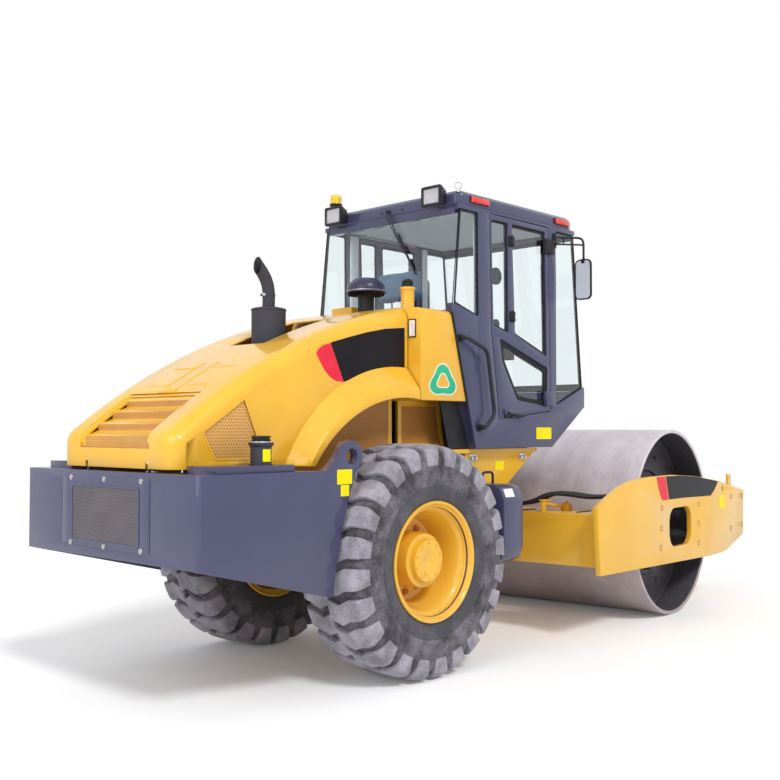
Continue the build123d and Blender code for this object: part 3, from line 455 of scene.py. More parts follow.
class Finish:
    """A new material's shader, its Object coordinates, and patterns drawn on them."""

    def __init__(self, name, **sockets):
        self.material = bpy.data.materials.new(name)
        self.material.use_nodes = True
        self.tree = self.material.node_tree
        self.shader = self.tree.nodes["Principled BSDF"]
        self.where = add(self.tree, "TexCoord").outputs["Object"]
        self.set(**sockets)

    def set(self, **sockets):
        """Constants or links for the shader; an underscore stands for a space."""
        feed(self.tree, self.shader, {key.replace("_", " "): sockets[key] for key in sockets})

    def math(self, operation, *values):
        return add(self.tree, "Math", dict(enumerate(values)), operation=operation).outputs[0]

    def plus(self, a, b):
        return self.math("ADD", a, b)

    def times(self, a, b):
        return self.math("MULTIPLY", a, b)

    def axis(self, letter):
        return add(self.tree, "SeparateXYZ", {"Vector": self.where}).outputs[letter]

    def noise(self, grain_mm, detail=2, rough=0.5, stretch=None):
        where = self.where
        if stretch:
            where = add(self.tree, "Mapping", {"Vector": where, "Scale": stretch}).outputs[0]
        return add(self.tree, "TexNoise", {"Vector": where, "Scale": per_mm(grain_mm),
                                           "Detail": detail, "Roughness": rough}).outputs["Fac"]

    def remap(self, value, low, high, to_low, to_high):
        return add(self.tree, "MapRange", {"Value": value, "From Min": low, "From Max": high,
                                           "To Min": to_low, "To Max": to_high}).outputs["Result"]

    def ramp(self, fac, low, shade, high, colour):
        """A ramp from one hex colour at a low place to another at a high one."""
        node = add(self.tree, "ValToRGB", {"Fac": fac})
        stops = zip(node.color_ramp.elements, ((low, shade), (high, colour)))
        for point, (place, tone) in stops:
            point.position = place
            point.color = linear(tone)
        return node.outputs["Color"]

    def mixed(self, fac, a, b):
        """Colour a going over to colour b; either is a hex value or a socket."""
        a, b = (linear(c) if isinstance(c, str) else c for c in (a, b))
        return add(self.tree, "Mix", {0: fac, 6: a, 7: b}, data_type="RGBA").outputs[2]

    def rough(self, pattern, low, high):
        """Roughness that follows a noise between two values."""
        self.set(Roughness=self.remap(pattern, 0.3, 0.7, low, high))

    def bump(self, height, strength, depth_mm):
        """A relief of a given depth on the shader's normal."""
        relief = add(self.tree, "Bump", {"Height": height, "Strength": strength,
                                         "Distance": depth_mm / 1000})
        self.set(Normal=relief.outputs["Normal"])


def sprayed_enamel(name, colour, faded, dusty, roughness=0.3, coat=0.4, most=0.45):
    """Two-pack enamel sprayed on steel: even half gloss with a fine orange-peel skin, slightly
    faded from panel to panel, with road dust low on the machine in a fine speckle."""
    skin = Finish(name, Coat_Weight=coat, Coat_Roughness=0.07, Specular_IOR_Level=0.3)
    tone = skin.ramp(skin.noise(420, 3), 0.35, faded, 0.65, colour)
    speck = skin.noise(38, 5, 0.7)
    low = skin.remap(skin.axis("Z"), 1.1, 0.35, 0, most)
    skin.set(Base_Color=skin.mixed(skin.times(low, speck), tone, dusty))
    skin.rough(speck, roughness, roughness + 0.12)
    skin.bump(skin.noise(9), 0.05, 1)
    return skin.material


def punched_sheet(name, colour, shade, painted_hole_shade, pitch_mm, hole_mm):
    """Steel sheet punched with round holes in staggered rows, then sprayed; the holes are filled
    with painted shade for the dark behind them. Drawn on the (x or y, z) plane that the sheet
    faces."""
    row_gap = 0.866                        # rows of a triangular grid, in pitches
    skin = Finish(name)
    across = skin.plus(skin.axis("X"), skin.axis("Y"))
    row = skin.times(skin.axis("Z"), per_mm(pitch_mm * row_gap))
    shift = skin.times(skin.math("MODULO", skin.math("FLOOR", row), 2), 0.5)
    column = skin.plus(skin.times(across, per_mm(pitch_mm)), shift)
    u = skin.math("SUBTRACT", skin.math("FRACT", column), 0.5)
    v = skin.times(skin.math("SUBTRACT", skin.math("FRACT", row), 0.5), row_gap)
    reach = skin.math("SQRT", skin.plus(skin.times(u, u), skin.times(v, v)))
    edge = hole_mm / pitch_mm / 2
    open_ = skin.remap(reach, edge, edge * 0.8, 0, 1)
    tone = skin.ramp(skin.noise(160, 3), 0.35, shade, 0.65, colour)
    # Painted shade: the holes take the dark colour of what lies behind them.
    skin.set(Base_Color=skin.mixed(open_, tone, painted_hole_shade), Roughness=skin.remap(open_, 0, 1, 0.4, 0.9))
    skin.bump(skin.math("SUBTRACT", 1, open_), 0.6, 2)
    return skin.material


def moulded_plastic(name, colour, worn, grain_mm=1.4, roughness=0.5):
    """Injection-moulded ABS with a fine leather grain, a little chalky where it is handled."""
    skin = Finish(name, Specular_IOR_Level=0.35)
    skin.set(Base_Color=skin.ramp(skin.noise(90, 4), 0.4, colour, 0.75, worn))
    skin.rough(skin.noise(30, 3), roughness - 0.06, roughness + 0.08)
    skin.bump(skin.noise(grain_mm), 0.25, 0.3)
    return skin.material


def bare_steel(name, bright, dull, roughness=0.35):
    """Machined or zinc-plated steel: a metal with faint cloudy stains."""
    skin = Finish(name, Metallic=1)
    skin.set(Base_Color=skin.ramp(skin.noise(40, 4), 0.3, dull, 0.7, bright))
    skin.rough(skin.noise(6, 3), roughness - 0.08, roughness + 0.1)
    return skin.material


def vinyl_film(name, colour, shade, roughness=0.34):
    """Cast vinyl film stuck on the paint: flat, even, with a slight orange peel from beneath."""
    skin = Finish(name, Roughness=roughness, Specular_IOR_Level=0.12)
    skin.set(Base_Color=skin.ramp(skin.noise(130), 0.35, shade, 0.65, colour))
    skin.bump(skin.noise(12), 0.06, 0.5)
    return skin.material


def coloured_lens(name, colour, deep, glow=0.12):
    """Moulded acrylic lens with fine prisms pressed inside, glossy outside."""
    skin = Finish(name, Roughness=0.12, Coat_Weight=0.6, Subsurface_Weight=0.15,
                  Subsurface_Radius=(0.006, 0.004, 0.002), Emission_Strength=glow)
    rib = skin.math("SINE", skin.times(skin.plus(skin.axis("X"), skin.axis("Y")),
                                       2 * pi * per_mm(7)))
    tone = skin.ramp(skin.remap(rib, -1, 1, 0, 1), 0, deep, 1, colour)
    skin.set(Base_Color=tone, Emission_Color=tone)
    return skin.material


def frosted_lens(name, tint):
    """Moulded lamp glass with fine upright flutes: pale and milky, with a painted highlight in
    white along each flute, as if lit from the side.
    """
    skin = Finish(name, Roughness=0.18, Transmission_Weight=0.55, Coat_Weight=0.5)
    flute = skin.math("SINE", skin.times(skin.axis("Y"), 2 * pi * per_mm(9)))
    skin.set(Base_Color=skin.ramp(skin.remap(flute, -1, 1, 0, 1), 0, tint, 1, "#ffffff"))
    skin.bump(flute, 0.3, 0.5)
    return skin.material


def tinted_glass(name, tint):
    """Toughened float glass with a light green tint: clear, with a sharp reflection. Its shadow
    rays pass, as light does through a window."""
    skin = Finish(name, Roughness=0, Base_Color=linear(tint), Transmission_Weight=1, IOR=1.45)
    path = add(skin.tree, "LightPath")
    clear = add(skin.tree, "BsdfTransparent", {"Color": linear(tint)})
    either = add(skin.tree, "MixShader", {0: path.outputs["Is Shadow Ray"],
                                          1: skin.shader.outputs[0], 2: clear.outputs[0]})
    feed(skin.tree, skin.tree.nodes["Material Output"], {"Surface": either.outputs[0]})
    return skin.material


def dusty_rubber(name, rubber, dust, amount):
    """Tyre rubber, moulded and worn: grey with dry dust on lugs and shoulders, scuffed in fine
    scratches; dark in the grooves, where the carcass is drawn darker, partly as painted shade."""
    skin = Finish(name, Roughness=0.8, Sheen_Weight=0.15)
    cloud, fine = skin.noise(150, 6, 0.65), skin.noise(12, 6, 0.7)
    grime = skin.plus(skin.times(cloud, 0.75), skin.times(fine, 0.25))
    film = skin.remap(grime, 0.41, 0.59, amount - 0.45, amount + 0.08)
    scratch = skin.noise(26, 4, 0.8, stretch=(1, 6, 1))
    skin.set(Base_Color=skin.mixed(skin.remap(scratch, 0.62, 0.72, 0, 0.35),
                                   skin.mixed(film, rubber, dust), dust))
    skin.bump(skin.plus(fine, skin.noise(4, 3)), 0.35, 1)
    return skin.material


def rolled_steel(name, bright, mid, rust_and_shade):
    """Thick drum plate worn bright by the ground, with rust-brown bands and earthy stains that
    run round it; its lower half is darkened towards the same brown as painted shade."""
    skin = Finish(name, Metallic=0.15)
    band = skin.noise(700, 5, 0.6, stretch=(1, 5, 1))
    blot, speck = skin.noise(130, 6, 0.7), skin.noise(14, 5, 0.75)
    mess = skin.plus(skin.times(band, 0.5), skin.times(blot, 0.5))
    tone = skin.ramp(mess, 0.3, mid, 0.62, bright)
    tone = skin.mixed(skin.remap(speck, 0.58, 0.75, 0, 0.3), tone, rust_and_shade)
    # Painted shade: darker towards the bottom of the drum, mixed towards the rust brown.
    tone = skin.mixed(skin.remap(skin.axis("Z"), 1.1, 0.1, 0, 0.5), tone, rust_and_shade)
    streak = skin.noise(420, 5, 0.7, stretch=(1, 14, 1))
    skin.set(Base_Color=skin.mixed(skin.remap(streak, 0.5, 0.75, 0, 0.16), tone, rust_and_shade))
    skin.rough(blot, 0.38, 0.62)
    skin.bump(skin.plus(speck, blot), 0.25, 1.5)
    return skin.material


def rough_casting(name, colour, dusty):
    """Grey iron cast in sand, primed dark, with oil film and dust."""
    skin = Finish(name, Metallic=0.2)
    skin.set(Base_Color=skin.ramp(skin.noise(60, 6, 0.7), 0.35, colour, 0.7, dusty))
    skin.rough(skin.noise(25, 4), 0.5, 0.75)
    skin.bump(skin.noise(3, 4), 0.5, 0.8)
    return skin.material


def woven_cloth(name, warp, weft, thread_mm=2.4):
    """Flat-woven polyester seat cloth; its threads are drawn coarser than real ones, so that
    they show."""
    skin = Finish(name, Roughness=0.85, Sheen_Weight=0.4, Sheen_Roughness=0.4)
    turns = 2 * pi * per_mm(thread_mm)
    u = skin.math("SINE", skin.times(skin.axis("Y"), turns))
    v = skin.math("SINE", skin.times(skin.plus(skin.axis("X"), skin.axis("Z")), turns))
    weave = skin.remap(skin.times(u, v), -1, 1, 0, 1)
    fading = skin.remap(skin.noise(120, 4), 0.4, 0.7, 0, 0.3)
    skin.set(Base_Color=skin.mixed(fading, skin.ramp(weave, 0.2, warp, 0.8, weft), weft))
    skin.bump(weave, 0.4, 0.6)
    return skin.material


YELLOW = sprayed_enamel("yellow_enamel", "#ebb630", "#e7ae29", "#cdb07a", coat=0.6, most=0.3)
SLATE = sprayed_enamel("slate_enamel", "#424363", "#3e3f5e", "#6c6a79", 0.34, 0.6, 0.35)
BLACK = sprayed_enamel("black_enamel", "#222227", "#2a2a30", "#55524f", 0.42, 0.1)
HOT_BLACK = sprayed_enamel("heat_proof_black", "#34333d", "#3c3b45", "#625c60", 0.6, 0)
NECK_PAINT = sprayed_enamel("dark_neck_enamel", "#2b2a35", "#31303b", "#5d5a62", 0.4, 0.2)
# Painted shade: the wheel nuts take a darker, oranger copy of the yellow enamel, for the shade in
# the wheel's dish.
WHEEL_NUT = sprayed_enamel("nut_orange_enamel", "#d98f2b", "#c57c22", "#9c7448", roughness=0.4)
# Painted shade: the yellow punched sheets are drawn in darker, oranger tones than the yellow
# enamel; each sheet's last colour is the painted shade seen through its holes.
LOUVRE_MESH = punched_sheet("punched_yellow_sheet", "#d39a4c", "#ca9044", "#a06c30", 12, 7)
VENT_MESH = punched_sheet("punched_vent_sheet", "#deab5e", "#d6a254", "#b27c3a", 20, 12)
SIDE_MESH = punched_sheet("punched_side_sheet", "#cc9044", "#c4873b", "#96622a", 12, 7)
TAIL_MESH = punched_sheet("punched_slate_sheet", "#6d666c", "#625b61", "#2c292f", 9, 6)
ABS_BLACK = moulded_plastic("black_abs", "#151518", "#202024")
# Painted light: the cab lining is drawn near white, lighter than its own grey, to stand in for the
# light inside the cab.
GREY_TRIM = moulded_plastic("grey_cab_lining", "#e6edf1", "#eff4f7", 2, 0.7)
FLOOR_MAT = moulded_plastic("ribbed_floor_mat", "#2e2f33", "#3b3c40", 5, 0.8)
SEAL = moulded_plastic("epdm_seal", "#17171a", "#222226", roughness=0.7)
HOSE = moulded_plastic("braided_hose_rubber", "#1b1b1e", "#2c2b2d", 2.5, 0.6)
DOME_PLASTIC = moulded_plastic("polished_slate_plastic", "#32314a", "#3f3e55", 3, 0.3)
NYLON = moulded_plastic("white_nylon", "#ece9ec", "#dcd9dd")
LAMP_SHELL = moulded_plastic("black_lamp_housing", "#1c1b21", "#2a2930", roughness=0.38)
ZINC = bare_steel("zinc_plated_steel", "#dcd9d5", "#bdb9b5")
CHROME = bare_steel("hard_chrome", "#e2e2e4", "#d4d4d8", 0.12)
SILVER = bare_steel("lamp_reflector", "#f1f1f3", "#e4e5e9", 0.14)
CLAMP = bare_steel("stainless_clamp", "#d6d3d0", "#b5b1ae", 0.3)
PIPE_END = rough_casting("sooty_pipe", "#2d2a2c", "#474244")
IRON = rough_casting("primed_cast_iron", "#24252a", "#3b3a3c")
# Painted shade: the end discs, ribs and bolts inside the drum are drawn dark for the shade within
# it.
DRUM_INSIDE = rough_casting("sooty_drum_inside", "#48454d", "#5b5760")
DRUM = rolled_steel("worn_drum_plate", "#dcd3d9", "#bcb2b8", "#74655f")
BLACK_FILM = vinyl_film("black_vinyl", "#1c1a1e", "#18161a")
RED_FILM = vinyl_film("red_vinyl", "#e6354a", "#de2c42")
WHITE_FILM = vinyl_film("white_vinyl", "#eeeae6", "#e6e2de")
YELLOW_FILM = vinyl_film("lemon_vinyl", "#f4e011", "#ecd80e")
GREEN_FILM = vinyl_film("green_vinyl", "#38b98a", "#31ad80")
# Painted reflection: the mirror glass is an even pale film that stands for the sky seen in it.
MIRROR = vinyl_film("mirror_glass", "#cdd3da", "#c3cad2", 0.1)        # an even pale face
FRIT = vinyl_film("black_ceramic_frit", "#121316", "#15161a", 0.25)
RED_LENS = coloured_lens("red_acrylic", "#ee3a28", "#b81b10")
AMBER_LENS = coloured_lens("amber_acrylic", "#f7d321", "#e0a90f")
LAMP_GLASS = frosted_lens("fluted_lamp_glass", "#d9d3e2")
GLASS = tinted_glass("tinted_cab_glass", "#f5fafb")
TREAD = dusty_rubber("worn_tread_rubber", "#4e4c54", "#b0abb7", 0.75)
# The carcass, which is the sidewall and the floor of the grooves between the lugs, is drawn darker
# and less dusty than the lugs: partly its own rubber, partly painted shade in the grooves.
CARCASS = dusty_rubber("tyre_sidewall_rubber", "#28272b", "#8f8a96", 0.46)
BEAD = dusty_rubber("tyre_bead_rubber", "#3a393f", "#68656f", 0.3)
SEAT_CLOTH = woven_cloth("blue_seat_cloth", "#4b6480", "#5f7c9b")

# The slot that each finish goes in; films have none, so that labels and decals stay off it.
SLOT_OF = {finish: slot for slot, finishes in {
    "yellow_paint": (YELLOW, WHEEL_NUT), "slate_paint": (SLATE, NECK_PAINT),
    "black_paint": (BLACK, HOT_BLACK, PIPE_END), "rubber": (SEAL, HOSE, FLOOR_MAT),
    "black_plastic": (ABS_BLACK, DOME_PLASTIC, NYLON, LAMP_SHELL, GREY_TRIM, FRIT),
    "chrome": (ZINC, CHROME, SILVER, CLAMP, MIRROR), "cast_iron": (IRON,), "mesh": (TAIL_MESH,),
    "drum_steel": (DRUM, DRUM_INSIDE), "tyre": (TREAD, CARCASS), "glass": (GLASS, LAMP_GLASS),
    "red_lens": (RED_LENS,), "amber_lens": (AMBER_LENS,), "seat_cloth": (SEAT_CLOTH,),
}.items() for finish in finishes}

# ---------------------------------------------------------------- light, floor and camera
EYE = Vector((-4.819, -5.116, 1.535))        # in the vehicle's frame
EYE_YAW = radians(43.26)                     # from forward towards the left
EYE_PITCH = radians(2.12)
FILM_WIDTH = 36                              # mm
LENS = 47.7462                               # mm


def set_camera(scene):
    camera = bpy.data.objects.new("camera", bpy.data.cameras.new("camera"))
    scene.collection.objects.link(camera)
    camera.data.lens = LENS
    camera.data.sensor_width = FILM_WIDTH
    camera.data.clip_end = 200
    camera.location = EYE + ORIGIN
    camera.rotation_euler = (pi / 2 + EYE_PITCH, 0, EYE_YAW - pi / 2)
    scene.camera = camera
    scene.view_settings.view_transform = "Standard"


def set_floor():
    """A pale floor that glows a little to the camera, to be as white as the background."""
    select_none()
    bpy.ops.mesh.primitive_plane_add(size=60, location=(0, 0, -0.001))
    floor = named("floor")
    skin = Finish("pale_floor", Roughness=0.9, Emission_Color=(1, 1, 1, 1))
    seen = add(skin.tree, "LightPath").outputs["Is Camera Ray"]
    skin.set(Base_Color=skin.ramp(skin.noise(900, 4), 0.3, "#fafafb", 0.7, "#fdfdfd"),
             Emission_Strength=skin.times(seen, 0.07))
    floor.data.materials.append(skin.material)


def set_world(scene):
    """Soft even light, and plain white where the camera, a reflection or a glass sees it."""
    world = bpy.data.worlds.new("studio")
    scene.world = world
    world.use_nodes = True
    tree = world.node_tree
    tree.nodes.clear()
    path = add(tree, "LightPath")
    seen = path.outputs["Is Camera Ray"]
    for ray in ("Is Glossy Ray", "Is Transmission Ray"):
        seen = add(tree, "Math", {0: seen, 1: path.outputs[ray]}, operation="MAXIMUM").outputs[0]
    lit = add(tree, "Background", {"Color": linear("#fbfcff"), "Strength": 0.64})
    shown = add(tree, "Background", {"Color": (1, 1, 1, 1), "Strength": 1})
    mix = add(tree, "MixShader", {0: seen, 1: lit.outputs[0], 2: shown.outputs[0]})
    add(tree, "OutputWorld", {"Surface": mix.outputs[0]})


def lamp(scene, name, kind, energy, place, aim, **size):
    light = bpy.data.lights.new(name, kind)
    light.energy = energy
    for key, value in size.items():
        setattr(light, key, value)
    holder = bpy.data.objects.new(name, light)
    scene.collection.objects.link(holder)
    holder.location = place
    holder.rotation_euler = (Vector(aim) - Vector(place)).to_track_quat("-Z", "Y").to_euler()


set_camera(bpy.context.scene)
set_floor()
set_world(bpy.context.scene)
lamp(bpy.context.scene, "sun", "SUN", 1.6, (-2.8, -9, 9), (0, 0, 0), angle=radians(12))
lamp(bpy.context.scene, "fill", "AREA", 240, (-9, -2, 5), (0, 0, 1), size=6)


# ---------------------------------------------------------------- CAD pieces with eased edges
def dressed(node, finishes, width, angle=40, slot=None, which=None):
    """A rounded copy of a CAD node: its triangles merged to plain faces, its edges eased. Which
    of several finishes a face takes, by number, is told from its place and normal."""
    source = frame["nodes"][node]
    piece = source.copy()
    piece.data = source.data.copy()
    piece.parent = None
    for key in [key for key in piece.keys() if key.startswith("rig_")]:
        del piece[key]
    piece.name = piece.data.name = f"{node}_shape"
    bpy.context.scene.collection.objects.link(piece)
    with shaping(piece, "VERT"):
        select_every()
        bpy.ops.mesh.remove_doubles(threshold=MERGE)
        bpy.ops.mesh.dissolve_limited(angle_limit=radians(0.4))
    if width:
        bevelled(piece, width, angle)
    settle(smooth(piece), finishes, source["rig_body"], slot, (node,), drawn=False)
    if which:
        home = to_packed(source["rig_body"]).inverted()
        for face in piece.data.polygons:
            face.material_index = which(home @ face.center, home.to_3x3() @ face.normal)


def louvre_faces(at, normal):
    """Risers and foot of the hood's louvres are punched sheet, its side vents a coarser one."""
    if abs(normal.y) > 0.9 and abs(at.y) > 0.5:
        return 2
    return 1 if normal.x < -0.97 and abs(at.y) < 0.33 else 0


def side_mesh_faces(at, normal):
    """The thin field inside a side screen's border is punched sheet."""
    return 1 if abs(normal.y) >= 0.9 and abs(abs(at.y) - 0.423) <= 0.0012 else 0


for finish, width, angle, nodes in (         # finish, width of an eased edge, least angle, nodes
        (SLATE, 0.003, 40, "tail_sides counterweight cab_shell cab_frame door_right door_left"),
        (SLATE, 0.006, 20, "cab_roof"),
        (SLATE, 0.008, 20, "step_boxes"),
        (YELLOW, 0.003, 40, "rear_frame cab_mounts hitch_yoke"),
        (YELLOW, 0.002, 50, "hood"),
        (YELLOW, 0.005, 30, "tank_box"),
        (YELLOW, 0.004, 40, "front_frame"),
        (YELLOW, 0.005, 40, "side_plates"),
        (YELLOW, 0.002, 40, "scrapers barrel_right barrel_left"),
        (CHROME, 0.001, 40, "rod_right rod_left"),
        (IRON, 0.006, 25, "rear_axle"),
        (IRON, 0.012, 40, "engine_block"),
        (GLASS, 0, 40, "cab_glass door_glass_right door_glass_left")):
    for node in nodes.split():
        dressed(node, finish, width, angle)
dressed("drum_carriers", IRON, 0.004, slot="black_paint")
dressed("hood_screens", (YELLOW, LOUVRE_MESH, VENT_MESH), 0.0015, 20, "orange_mesh", louvre_faces)
dressed("side_screens", (YELLOW, SIDE_MESH), 0.001, 40, "orange_mesh", side_mesh_faces)


# ---------------------------------------------------------------- wheels
TYRE_MID = 0.736
WHEEL_R = 0.72
LUGS = 24
CARCASS_SIDE = [(0.208, 0.332), (0.216, 0.352), (0.2185, 0.372), (0.222, 0.383), (0.229, 0.392),
                (0.2315, 0.41), (0.2365, 0.45), (0.2385, 0.468), (0.2365, 0.472), (0.2385, 0.476),
                (0.2425, 0.52), (0.2425, 0.56), (0.2405, 0.59), (0.233, 0.63), (0.216, 0.662),
                (0.19, 0.681), (0.11, 0.687), (0, 0.688)]
LUG_PATH = [(-0.004, 0.7195), (0.036, 0.7195), (0.075, 0.719), (0.112, 0.7185), (0.15, 0.717),
            (0.186, 0.712), (0.214, 0.702), (0.233, 0.686), (0.2415, 0.664), (0.2435, 0.636),
            (0.2445, 0.608), (0.2445, 0.585)]
LUG_LINE = [(0, 0), (0.075, 0.036), (0.15, 0), (0.245, -0.004)]     # y, offset round the tyre


def lug_offset(y):
    """How far a lug's middle line runs round the tyre at y: a zigzag with eased corners."""
    for (y0, s0), (y1, s1) in zip(LUG_LINE, LUG_LINE[1:]):
        if y <= y1:
            t = min(max((y - y0) / (y1 - y0), 0), 1)
            return s0 + (s1 - s0) * t
    return LUG_LINE[-1][1]


def tyre():
    """Radial carcass with two rows of lugs, each row set half a pitch from the other."""
    closed = CARCASS_SIDE + [(-y, r) for y, r in reversed(CARCASS_SIDE[:-1])]
    carcass = smooth(spun("carcass", closed, steps=120), 40)
    lugs = []
    for side in (-1, 1):
        first = lug_shape(side)
        for turn in around(LUGS, side * 0.25):
            lugs.append(copied(first, "lug", Matrix.Rotation(turn, 4, "Y")))
        bpy.data.objects.remove(first)
    return carcass, smooth(joined(lugs, "tread"), 50)


def lug_shape(side):
    """One lug: a strip rolled over crown and shoulder and down the sidewall, thickened inwards,
    its edges eased."""
    select_none()
    columns, rows = len(LUG_PATH), 4
    bpy.ops.mesh.primitive_grid_add(x_subdivisions=columns - 1, y_subdivisions=rows, size=2)
    lug = named("lug")
    for vertex in lug.data.vertices:
        i = round((vertex.co.x + 1) / 2 * (columns - 1))
        across = vertex.co.y
        y, r = LUG_PATH[i]
        half = 0.065 * (1 - 0.14 * max(0, (i - 7) / 4))
        angle = (lug_offset(y) + across * half) / WHEEL_R
        vertex.co = (r * sin(angle), side * y, r * cos(angle))
    with shaping(lug):
        select_every()
        bpy.ops.mesh.normals_make_consistent(inside=False)
    if sum(f.normal.dot(f.center.normalized()) for f in lug.data.polygons) < 0:
        with shaping(lug):
            select_every()
            bpy.ops.mesh.flip_normals()
    applied(lug, "SOLIDIFY", thickness=0.034, offset=-1)
    return bevelled(lug, 0.0065, angle=50, segments=2)


def wheel(side, sign):
    body = f"wheel_{side}"
    place = Matrix.Translation((0, sign * TYRE_MID, WHEEL_R))
    if sign < 0:
        place = place @ Matrix.Rotation(pi, 4, "Z")
    carcass, tread = tyre()
    for piece, part, finish in ((carcass, "carcass", CARCASS), (tread, "tread", TREAD)):
        piece.data.transform(place)
        piece.name = piece.data.name = f"tyre_{part}_{side}"
    settle(carcass, (CARCASS, BEAD), body)
    centre = Vector((0, sign * TYRE_MID, WHEEL_R)) + ORIGIN
    for face in carcass.data.polygons:
        across = face.center - centre
        face.material_index = 1 if Vector((across.x, across.z)).length < 0.472 else 0
    settle(tread, TREAD, body, replaces=(f"tyre_{side}",))
    rim, nuts = rim_shape()
    for piece, part in ((rim, "rim"), (nuts, "nuts")):
        piece.data.transform(place)
        piece.name = piece.data.name = f"{part}_{side}_shape"
    settle(rim, YELLOW, body, replaces=(f"rim_{side}",))
    settle(nuts, WHEEL_NUT, body)


RIM_SECTION = [(0.236, 0.362), (0.2345, 0.368), (0.229, 0.371), (0.222, 0.371), (0.216, 0.367),
               (0.214, 0.36), (0.214, 0.334), (0.1, 0.327), (-0.1, 0.327), (-0.214, 0.334),
               (-0.214, 0.366), (-0.229, 0.371), (-0.236, 0.362), (-0.228, 0.352), (-0.2, 0.322),
               (-0.06, 0.306), (-0.058, 0.172), (-0.03, 0.172), (-0.03, 0.246), (-0.024, 0.258),
               (0.02, 0.27), (0.09, 0.285), (0.15, 0.303), (0.172, 0.314), (0.178, 0.326),
               (0.196, 0.331), (0.204, 0.338), (0.214, 0.342), (0.226, 0.349), (0.233, 0.355)]
HUB_SECTION = [(-0.058, 0.07), (-0.058, 0.176), (-0.012, 0.176), (-0.006, 0.171), (0.118, 0.169),
               (0.134, 0.165), (0.139, 0.158), (0.139, 0.135), (0.146, 0.132), (0.168, 0.131),
               (0.174, 0.128), (0.176, 0.122), (0.176, 0.05), (0.172, 0.044), (0.172, 0),
               (0.06, 0), (0.06, 0.07)]


def rim_shape():
    """Deep-dish disc wheel with a rolled lip, its planetary hub, cover bolts and wheel nuts."""
    rim = spun("rim", RIM_SECTION, steps=112)
    hub = spun("hub", HUB_SECTION, steps=72)
    covers = [hex_bolt("cover_bolt", (0.112 * cos(a), 0.176, 0.112 * sin(a)), (0, 1, 0),
                       0.015, 0.006, washer=False) for a in around(10, 0.5)]
    plug = hex_bolt("oil_plug", (0.03, 0.172, -0.07), (0, 1, 0), 0.026, 0.008)
    whole = smooth(joined([rim, hub, plug] + covers, "rim"), 38)
    nuts = []
    for a in around(12):
        at = Vector((0.208 * cos(a), -0.03, 0.208 * sin(a)))
        stud = roller("stud", at, at + Vector((0, 0.036, 0)), 0.009, sides=14)
        bevelled(stud, 0.0015, segments=1)
        nuts += [stud, hex_bolt("nut", at, (0, 1, 0), across=0.031, head=0.022)]
    return whole, smooth(joined(nuts, "nuts"), 30)


for side, sign in SIDES.items():
    wheel(side, sign)


# ---------------------------------------------------------------- tail
def cooler_screen():
    """Punched sheet in a thin steel frame, bolted over the window in the tail."""
    x = -1.702

    def ring(y, low, high, radius):
        return ring_points([(x, -y, low), (x, y, low), (x, y, high), (x, -y, high)], radius)
    border = framed("screen_frame", ring(0.445, 0.868, 1.268, 0.012),
                    ring(0.338, 0.902, 1.208, 0.018), (-0.003, 0, 0), 0.001)
    lip = framed("screen_lip", ring(0.35, 0.89, 1.22, 0.028), ring(0.336, 0.904, 1.206, 0.018),
                 (-0.0065, 0, 0), 0.002)
    group("cooler_frame", [border, lip], 30, SLATE)
    mesh_sheet = plate("cooler_mesh", ring(0.34, 0.9, 1.21, 0.02), (-0.0025, 0, 0))
    settle(mesh_sheet, TAIL_MESH, replaces=("rear_screen",))


cooler_screen()
group("screen_bolts", [hex_bolt("bolt", (-1.7045, y, z), BACK, 0.019, 0.004)
                       for y in (-0.364, 0, 0.353) for z in (0.879, 1.252)], 30, CLAMP)

NECK_SECTION = [(0, 0), (0, 0.064), (0.006, 0.064), (0.008, 0.058), (0.098, 0.058),
                (0.104, 0.066), (0.112, 0.07), (0.122, 0.07), (0.126, 0.062), (0.126, 0)]
CAP_SECTION = [(0.127, 0), (0.127, 0.046), (0.131, 0.052), (0.139, 0.052), (0.142, 0.046),
               (0.146, 0.046), (0.149, 0.054), (0.156, 0.053), (0.159, 0.046), (0.159, 0)]


def oil_neck():
    """Hydraulic oil filler on the right deck: neck with a rolled collar, a ring bright with dust
    and a ribbed cap."""
    x, y, z = -1.21, -0.76, 1.336
    neck = spun("oil_neck", NECK_SECTION, (x, y, z), UP, 48)
    settle(smooth(neck, 30), NECK_PAINT, replaces=("filler_necks",))
    ring = spun("oil_neck_ring", [(0.1225, 0.058), (0.1225, 0.0715), (0.1275, 0.0715),
                                  (0.1275, 0.058)], (x, y, z), UP, 48)
    settle(bevelled(ring, 0.0012), ZINC)
    cap = spun("oil_cap", CAP_SECTION, (x, y, z), UP, 48)
    knobs = []
    for a in around(18):
        foot = Vector((x + 0.0465 * cos(a), y + 0.0465 * sin(a), z + 0.128))
        knobs.append(roller("cap_rib", foot, foot + Vector((0, 0, 0.012)), 0.004, sides=8))
    group("oil_cap", [cap] + knobs, 30, ABS_BLACK)
    sheet = spun("oil_label", [(0.02, 0.0585), (0.02, 0.0592), (0.086, 0.0592), (0.086, 0.0585)],
                 (x, y, z), UP, 48)
    with shaping(sheet) as mesh:
        pick(mesh, mesh.faces, lambda f: not (-0.55 < atan2(f.calc_center_median().y - y,
                                                            f.calc_center_median().x - x)
                                              + pi / 2 < 0.45))
        bpy.ops.mesh.delete(type="FACE")
    settle(tidy_faces(sheet), YELLOW_FILM)


oil_neck()

blank_label("tail_label_high", -0.8705, (-0.745, 1.216), (-0.626, 1.3))
blank_label("tail_label_low", -0.8705, (-0.716, 1.148), (-0.65, 1.212))


# ---------------------------------------------------------------- exhaust and air intake
MUFFLER = Vector((-0.522, 0, 0))


